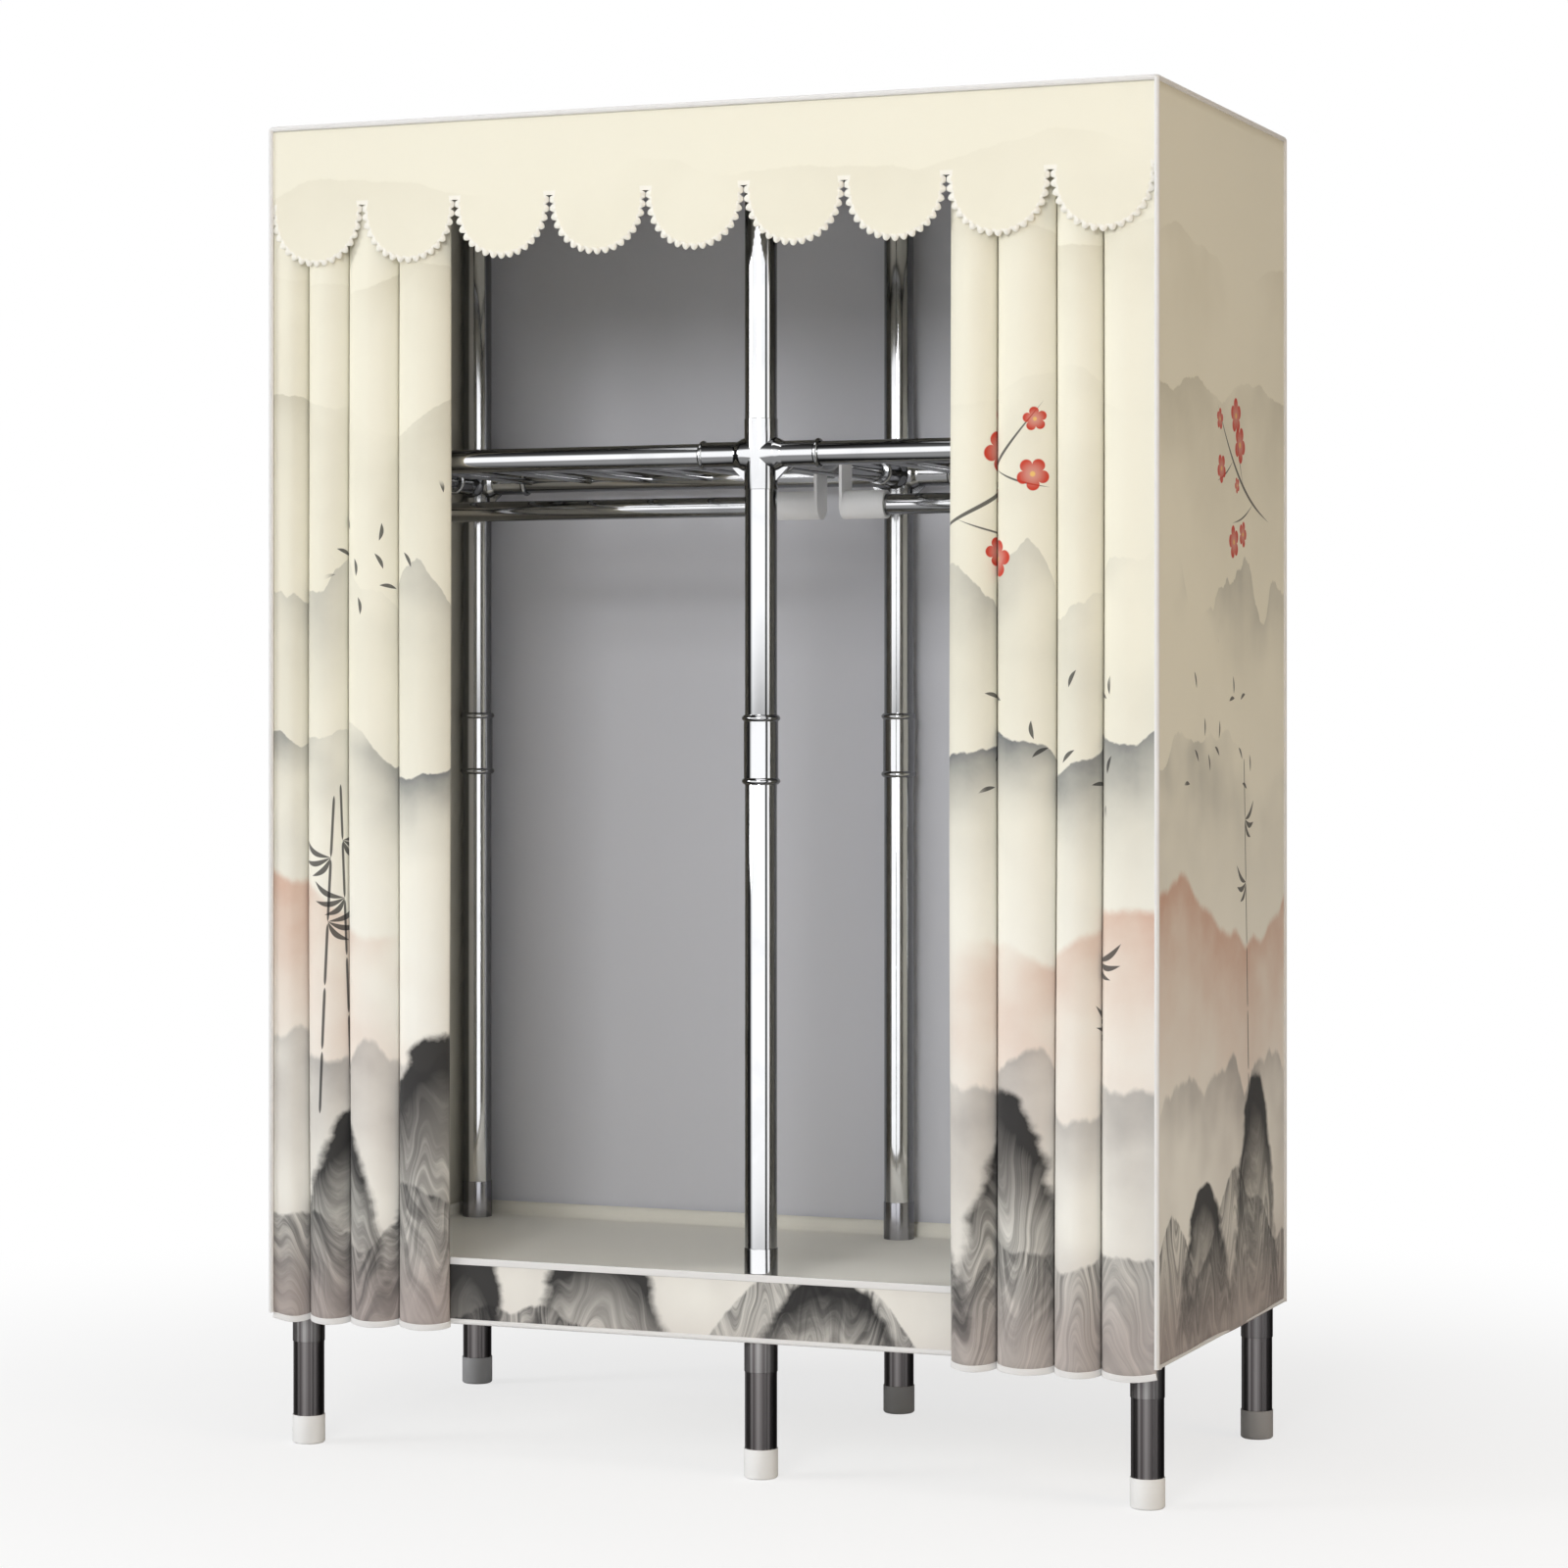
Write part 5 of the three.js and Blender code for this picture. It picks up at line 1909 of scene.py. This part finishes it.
    def seams(self) -> dict[str, list[bpy.types.Object]]:
        """Places the piping: round the top, down the four corners, and along the lower edges.

        Returns:
            The pieces that go with each panel.
        """
        low, high, hem = LAYOUT.low, LAYOUT.high, LAYOUT.hem
        top = high.z - self.piping * 0.4
        corners = [(low.x, low.y), (high.x, low.y), (high.x, high.y), (low.x, high.y)]
        loop = [Vector((x, y, top)) for x, y in rounded(corners, self.piping_turn, True, 5)]
        made = {"top": [self.pipe("piping_top", loop, True)], "left": [], "right": [], "back": []}
        for name, (x, y) in zip(("front_left", "front_right", "back_right", "back_left"), corners):
            path = [Vector((x, y, hem + (top - hem) * k / 24)) for k in range(25)]
            made[name.split("_")[1]].append(self.pipe(f"piping_{name}", path, False))
        for name, start, end in (("left", 3, 0), ("right", 1, 2), ("back", 2, 3)):
            line = [Vector(corners[start]).lerp(Vector(corners[end]), k / 12) for k in range(13)]
            path = [Vector((*spot, hem + self.hem_inset)) for spot in line]
            made[name].append(self.pipe(f"piping_hem_{name}", path, False, 0.8))
        return made

    def pipe(self, name: str, path: list[Vector], closed: bool, share: float = 1.0) -> bpy.types.Object:
        """Places one length of piping.

        Args:
            name: Its name.
            path: The points that it follows.
            closed: Whether its end joins its start.
            share: Its radius, as a share of the usual one.

        Returns:
            The piece.
        """
        upright = abs((path[1] - path[0]).normalized().z) > 0.9
        form = swept(path, circle(self.piping * share, 14), ASIDE if upright else UP, closed)
        return Piece(name, form.laid(1, 1).mesh(name), BINDING, Slot.COVER).put(smooth=80.0)

    def scallop(self) -> tuple[np.ndarray, np.ndarray]:
        """One scallop's edge with its picots, and a line just inside it.

        Returns:
            The edge and the line, from left to right, as X from the middle and depth below the notches.
        """
        turn = np.linspace(0, math.pi, 400)
        across, down = -self.scallop_half * np.cos(turn), self.scallop_deep * np.sin(turn) ** 0.86
        curve = np.stack([across, down], axis=1)
        ahead = np.gradient(curve, axis=0)
        ahead /= np.linalg.norm(ahead, axis=1)[:, None]
        reach = lengths(curve)
        steps = self.picot_steps * round(reach[-1] / self.picot)
        even = np.linspace(0, reach[-1], steps + 1)
        place, way = read_at(even, reach, curve), read_at(even, reach, ahead)
        out = np.stack([-way[:, 1], way[:, 0]], axis=1)
        phase = np.arange(steps + 1) % self.picot_steps / self.picot_steps
        bump = self.picot_height * np.sin(math.pi * phase) ** 0.8
        edge = place + out * bump[:, None]
        limit = self.pitch / 2 - self.valance_inset
        edge[:, 0] = np.clip(edge[:, 0], -limit, limit)
        return edge, (place - out * self.rim)[::3]

    def inner_spots(self) -> list[Flat]:
        """The points inside one scallop's share of the valance, on a grid that keeps clear of its edge.

        Returns:
            X from the scallop's middle and depth below the top.
        """
        spots = []
        above, inside, beside = self.grid_clear
        for row in range(1, 18):
            for step in range(-9, 10):
                x, z = self.pitch / 2 * step / 9.5, self.grid * row
                curve = self.scallop_deep * max(0.0, 1 - (x / self.scallop_half) ** 2) ** 0.43
                over_edge = z < self.notch + curve - inside and abs(x) < self.scallop_half - beside
                if z < self.notch - above or over_edge:
                    spots.append((x, z))
        return spots

    def valance(self) -> None:
        """Places the valance, cut in one piece with nine scallops along its foot."""
        low, high, width = LAYOUT.low, LAYOUT.high, self.width
        front = low.y + LAYOUT.cloth / 2
        edge, line = self.scallop()
        side, top = width / 2 - self.valance_inset, self.valance_top
        middles = [-width / 2 + self.pitch * (number + 0.5) for number in range(self.scallops)]
        foot = [(centre + x, self.notch + z) for centre in middles for x, z in edge]
        outline = [(-side, top), (-side, self.notch), *foot, (side, self.notch), (side, top)]
        outline += [(side - 2 * side * k / 120, top) for k in range(1, 120)]
        loose = [(centre + x, self.notch + z) for centre in middles for x, z in line]
        loose += [(centre + x, z) for x, z in self.inner_spots() for centre in middles]
        spots = [Vector(spot) for spot in (*outline, *loose)]
        made = delaunay_2d_cdt(spots, [], [list(range(len(outline)))], 1, 1e-7)
        form = Form(faces=[tuple(reversed(face)) for face in made[2]])
        for (x, below), source in zip(made[0], made[3]):
            ease = min(1.0, below / self.drop) ** 1.5
            wave = math.sin(TURN * x / 0.41) * 0.8 + math.sin(TURN * x / 0.16 + 1.0) * 0.5
            across, up = width / 2 + x, high.z - below
            form.points.append((low.x + across, front - ease * (0.6 + 0.9 * wave) * MM, up))
            form.places.append((across, up - LAYOUT.hem))
            on_edge = any(2 <= i < len(foot) + 2 for i in source)
            # The second value marks the piping's painted shadow line along the top seam.
            form.trims.append((1.0 if on_edge else 0.0, 1.0 if below < self.seam_reach else 0.0))
        mesh = form.mesh("valance")
        piece = Piece("front_valance", mesh, VALANCE_PRINT, Slot.COVER, nodes=("valance",))
        cloth = piece.put_cloth(LAYOUT.cloth * 0.7, REVERSE)


@dataclass
class Tray:
    """The cloth floor tray: its floor, its lips and the printed apron in front."""

    top: float = 0.235  # the height of the floor's upper side
    bend: float = 5 * MM  # how far from its edge the floor starts to turn up
    sag: float = 2.5 * MM  # how far the floor sags in each bay
    inset: float = 1 * MM  # how far the apron's ends are from the tray's
    bow: float = 0.7 * MM  # how far the apron is bowed back between its edges
    wave: float = 0.9 * MM  # how far its waves go beyond that
    band: float = 9 * MM  # the height of the white band along the apron's top
    band_thickness: float = 3.2 * MM  # the thickness of the band
    band_edge: float = 1.2 * MM  # how far its edges are rounded
    piping: float = 3.4 * MM  # the radius of the piping along its foot

    def build(self) -> None:
        """Places the floor with its lips, the apron and its two bands."""
        low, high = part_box("floor_tray")
        self.floor(low, high)
        self.apron(low, high)

    def bent(
        self, share: float, low: float, high: float, lip: float, first: bool
    ) -> tuple[float, float, float]:
        """Where the cloth is at a share of its length, as it runs over the floor and up a lip.

        Args:
            share: The share of its length.
            low: The least place of the floor.
            high: The greatest place of the floor.
            lip: The height of a lip.
            first: Whether it has a lip at its start too, and not only at its end.

        Returns:
            Its place, its height over the floor, and its place on the flat cloth.
        """
        length = high - low
        s = share * (length + lip * (2 if first else 1)) - (lip if first else 0)
        if s < 0:
            return low, min(-s, lip), s
        if s > length:
            return high, min(s - length, lip), s
        edge = min(s if first else self.bend, length - s, self.bend)
        return low + s, (self.bend - edge) ** 2 / (2 * self.bend), s

    def floor(self, low: Vector, high: Vector) -> None:
        """Places the floor, with its lips turned up at the sides and the back.

        Args:
            low: The tray's lowest corner.
            high: Its highest corner.
        """
        half = LAYOUT.cloth / 2
        left, right, front, back = low.x + half, high.x - half, low.y + LAYOUT.cloth + half, high.y - half
        floor = self.top - half
        lip = high.z - floor

        def at(s: float, t: float) -> tuple[Point, Flat]:
            """The floor's point and flat place.

            Args:
                s: The share from the left lip.
                t: The share from the front.

            Returns:
                The point and the place.
            """
            x, rise_x, u = self.bent(s, left, right, lip, True)
            y, rise_y, v = self.bent(t, front, back, lip, False)
            sag = 0.0
            if rise_x == 0 and rise_y == 0:
                across = sum(arch(x, start, end) for start, end in BAYS.values())
                sag = self.sag * across * arch(y, front, back)
            return (x, y, floor + max(rise_x, rise_y) - sag), (u, v)

        mesh = sheet(at, 180, 96).mesh("tray")
        piece = Piece("tray_floor", mesh, TRAY_CLOTH, Slot.TRAY, nodes=("floor_tray",))
        cloth = piece.put_cloth(LAYOUT.cloth * 0.9)

    def apron(self, low: Vector, high: Vector) -> None:
        """Places the printed apron, the band along its top and the piping along its foot.

        Args:
            low: The tray's lowest corner.
            high: Its highest corner.
        """
        width, height = high.x - low.x, high.z - low.z
        start, length, y = low.x + self.inset, width - 2 * self.inset, low.y + LAYOUT.cloth / 2

        def at(s: float, t: float) -> tuple[Point, Flat]:
            """The apron's point and flat place.

            Args:
                s: The share from the left.
                t: The share from its foot up.

            Returns:
                The point and the place.
            """
            x = start + length * s
            wave = self.wave * math.sin(11 * x) * math.sin(29 * x + 1)
            belly = math.sin(math.pi * t) * (self.bow + wave)
            return (x, y + belly, low.z + height * t), (width * s, height * t)

        piece = Piece("front_apron", sheet(at, 200, 12).mesh("apron"), APRON_PRINT, Slot.TRAY)
        cloth = piece.put_cloth(LAYOUT.cloth * 0.8, REVERSE)
        band = rounded(oblong(self.band_thickness / 2, self.band / 2), self.band_edge, True)
        for name, z, section in (
            ("apron_band", high.z - self.band / 2, band),
            ("apron_piping", low.z + self.piping, circle(self.piping, 14)),
        ):
            path = [Vector((start + length * k / 60, y, z)) for k in range(61)]
            form = swept(path, section, UP).laid(1, 0)
            Piece(name, form.mesh(name), BINDING, Slot.TRAY).put(smooth=60.0)


@dataclass(frozen=True)
class Lamp:
    """One soft lamp."""

    name: str
    place: Point  # where it stands
    aim: Point  # what it faces
    size: float  # the length of its side
    power: float  # its power, in watts
    colour: str = "#FFFFFF"
    mirrored: bool = True  # whether metal shows it


@dataclass
class Studio:
    """The camera, the pale floor, the backdrop and the soft lamps."""

    lens: float = 92.47  # the camera's focal length, in millimetres on a 36 mm sensor
    azimuth: float = 21.964  # how far the camera stands round to the right of the front, in degrees
    place: Point = (1.9618, -4.8586, 0.9683)  # where the camera stands
    shift: float = -0.0560  # how far the picture is shifted upward, as a share of its width
    lamps: tuple[Lamp, ...] = (
        Lamp("key_lamp", (-8.4, -5.2, 3.4), (0.0, 0.0, 0.9), 3.0, 400.0),
        Lamp("front_lamp", (0.6, -4.6, 2.4), (0.0, 0.3, 0.7), 1.4, 69.0),
        Lamp("right_lamp", (4.6, -1.4, 2.2), (0.0, 0.0, 0.9), 2.2, 42.0, "#FFE0B2", False),
        Lamp("top_lamp", (0.2, -0.6, 4.6), (0.0, 0.0, 0.8), 2.6, 40.0),
    )
    ambient: float = 0.24  # the strength of the light from all round
    # The white cards that metal shows: start and end, in degrees from the camera, and strength
    cards: tuple[Point, ...] = ((-80.0, 30.0, 1.1), (45.0, 68.0, 1.0), (-150.0, -128.0, 0.3))
    card_edge: float = 3.0  # half the width of a card's soft edge, in degrees
    dark: float = 0.05  # the strength between them
    floor_radius: float = 9.0  # the radius of the floor
    floor_tone: float = 0.93  # how bright the floor is

    def build(self) -> None:
        """Places the whole studio."""
        scene = bpy.context.scene
        scene.view_settings.view_transform = "Standard"
        data = bpy.data.cameras.new("camera")
        data.lens = self.lens
        data.sensor_width = 36.0
        data.shift_y = self.shift
        data.clip_start, data.clip_end = 0.05, 100.0
        scene.camera = add_object("camera", data)
        scene.camera.location = self.place
        scene.camera.rotation_euler = (math.pi / 2, 0.0, math.radians(self.azimuth))
        for lamp in self.lamps:
            self.put_lamp(lamp)
        self.put_floor()
        self.put_world()

    def put_lamp(self, lamp: Lamp) -> None:
        """Places one lamp.

        Args:
            lamp: The lamp.
        """
        data = bpy.data.lights.new(lamp.name, "AREA")
        data.shape = "SQUARE"
        data.size = lamp.size
        data.energy = lamp.power
        data.color = linear(lamp.colour)[:3]
        holder = add_object(lamp.name, data)
        holder.location = lamp.place
        holder.visible_camera = False
        holder.visible_glossy = lamp.mirrored
        holder.rotation_euler = (Vector(lamp.aim) - Vector(lamp.place)).to_track_quat("-Z", "Y").to_euler()

    def put_floor(self) -> None:
        """Places the pale floor, which fades into the background."""
        floor = add_object("floor", turned([(0, 0), (self.floor_radius, 0)], 96).mesh("floor"))
        material = bpy.data.materials.new("pale_floor")
        tree = emptied(material)
        spot = read_from(tree, "TexCoord", "Object")
        x, y, _ = spot.parts()
        far = (x * x + y * y).math("SQRT").step(0.5, 2.2) * 0.30 + 0.70
        seen = far * read_from(tree, "LightPath", "Is Camera Ray")
        speck = spot.noise(40.0, 3.0) * 0.01 + self.floor_tone
        matt = add_node(tree, "BsdfDiffuse", {"Color": joined(speck, speck, speck)})
        glow = add_node(tree, "Emission", {})
        shaders = [Signal(tree, shader.outputs[0]) for shader in (matt, glow)]
        blend = add_node(tree, "MixShader", dict(enumerate((seen, *shaders))))
        add_node(tree, "OutputMaterial", {"Surface": Signal(tree, blend.outputs[0])})
        floor.data.materials.append(material)
        floor.visible_glossy = False

    def put_world(self) -> None:
        """Makes the background: white to the eye, white cards to metal, and plain light to the rest."""
        world = bpy.data.worlds.new("studio")
        bpy.context.scene.world = world
        tree = emptied(world)
        x, y, z = read_from(tree, "TexCoord", "Generated").parts()
        bearing = y.math("ARCTAN2", x) * (180 / math.pi) + (90.0 - self.azimuth)
        bearing = bearing.math("WRAP", 180.0, -180.0)
        cards: Signal | float = self.dark
        for start, end, level in self.cards:
            after, before = (bearing.step(at - self.card_edge, at + self.card_edge) for at in (start, end))
            cards = after * (1.0 - before) * level + cards
        camera, glossy, through = (
            read_from(tree, "LightPath", f"Is {ray} Ray") for ray in ("Camera", "Glossy", "Transmission")
        )
        mirror = (glossy + through).at_most(1.0)
        ceiling, ground = z.step(0.35, 0.60) * 0.93, (z * -1.0).step(0.14, 0.36) * 0.75
        reflected = mirror * (cards * (1.0 - ceiling) * (1.0 - ground))
        strength = camera + reflected + (1.0 - camera) * (1.0 - mirror) * self.ambient
        glow = add_node(tree, "Background", {"Color": linear("#FFFFFF"), "Strength": strength})
        add_node(tree, "OutputWorld", {"Surface": Signal(tree, glow.outputs[0])})


def main() -> None:
    """Builds the studio and the wardrobe."""
    logging.basicConfig(level=logging.INFO, format="%(relativeCreated)d ms  %(message)s")
    builders = (
        Studio(),
        Posts(),
        Connectors(),
        Rails(),
        RodCups(),
        CurtainRod(),
        Curtain("left", LEFT_PRINT, (-12 * MM, -13 * MM, -15 * MM, -17 * MM)),
        Curtain("right", RIGHT_PRINT, (14 * MM, 7 * MM, 2 * MM, 0.0)),
        Cover(),
        Tray(),
    )
    for builder in builders:
        builder.build()
        LOG.info("built %s", type(builder).__name__)


if __name__ == "__main__":
    main()
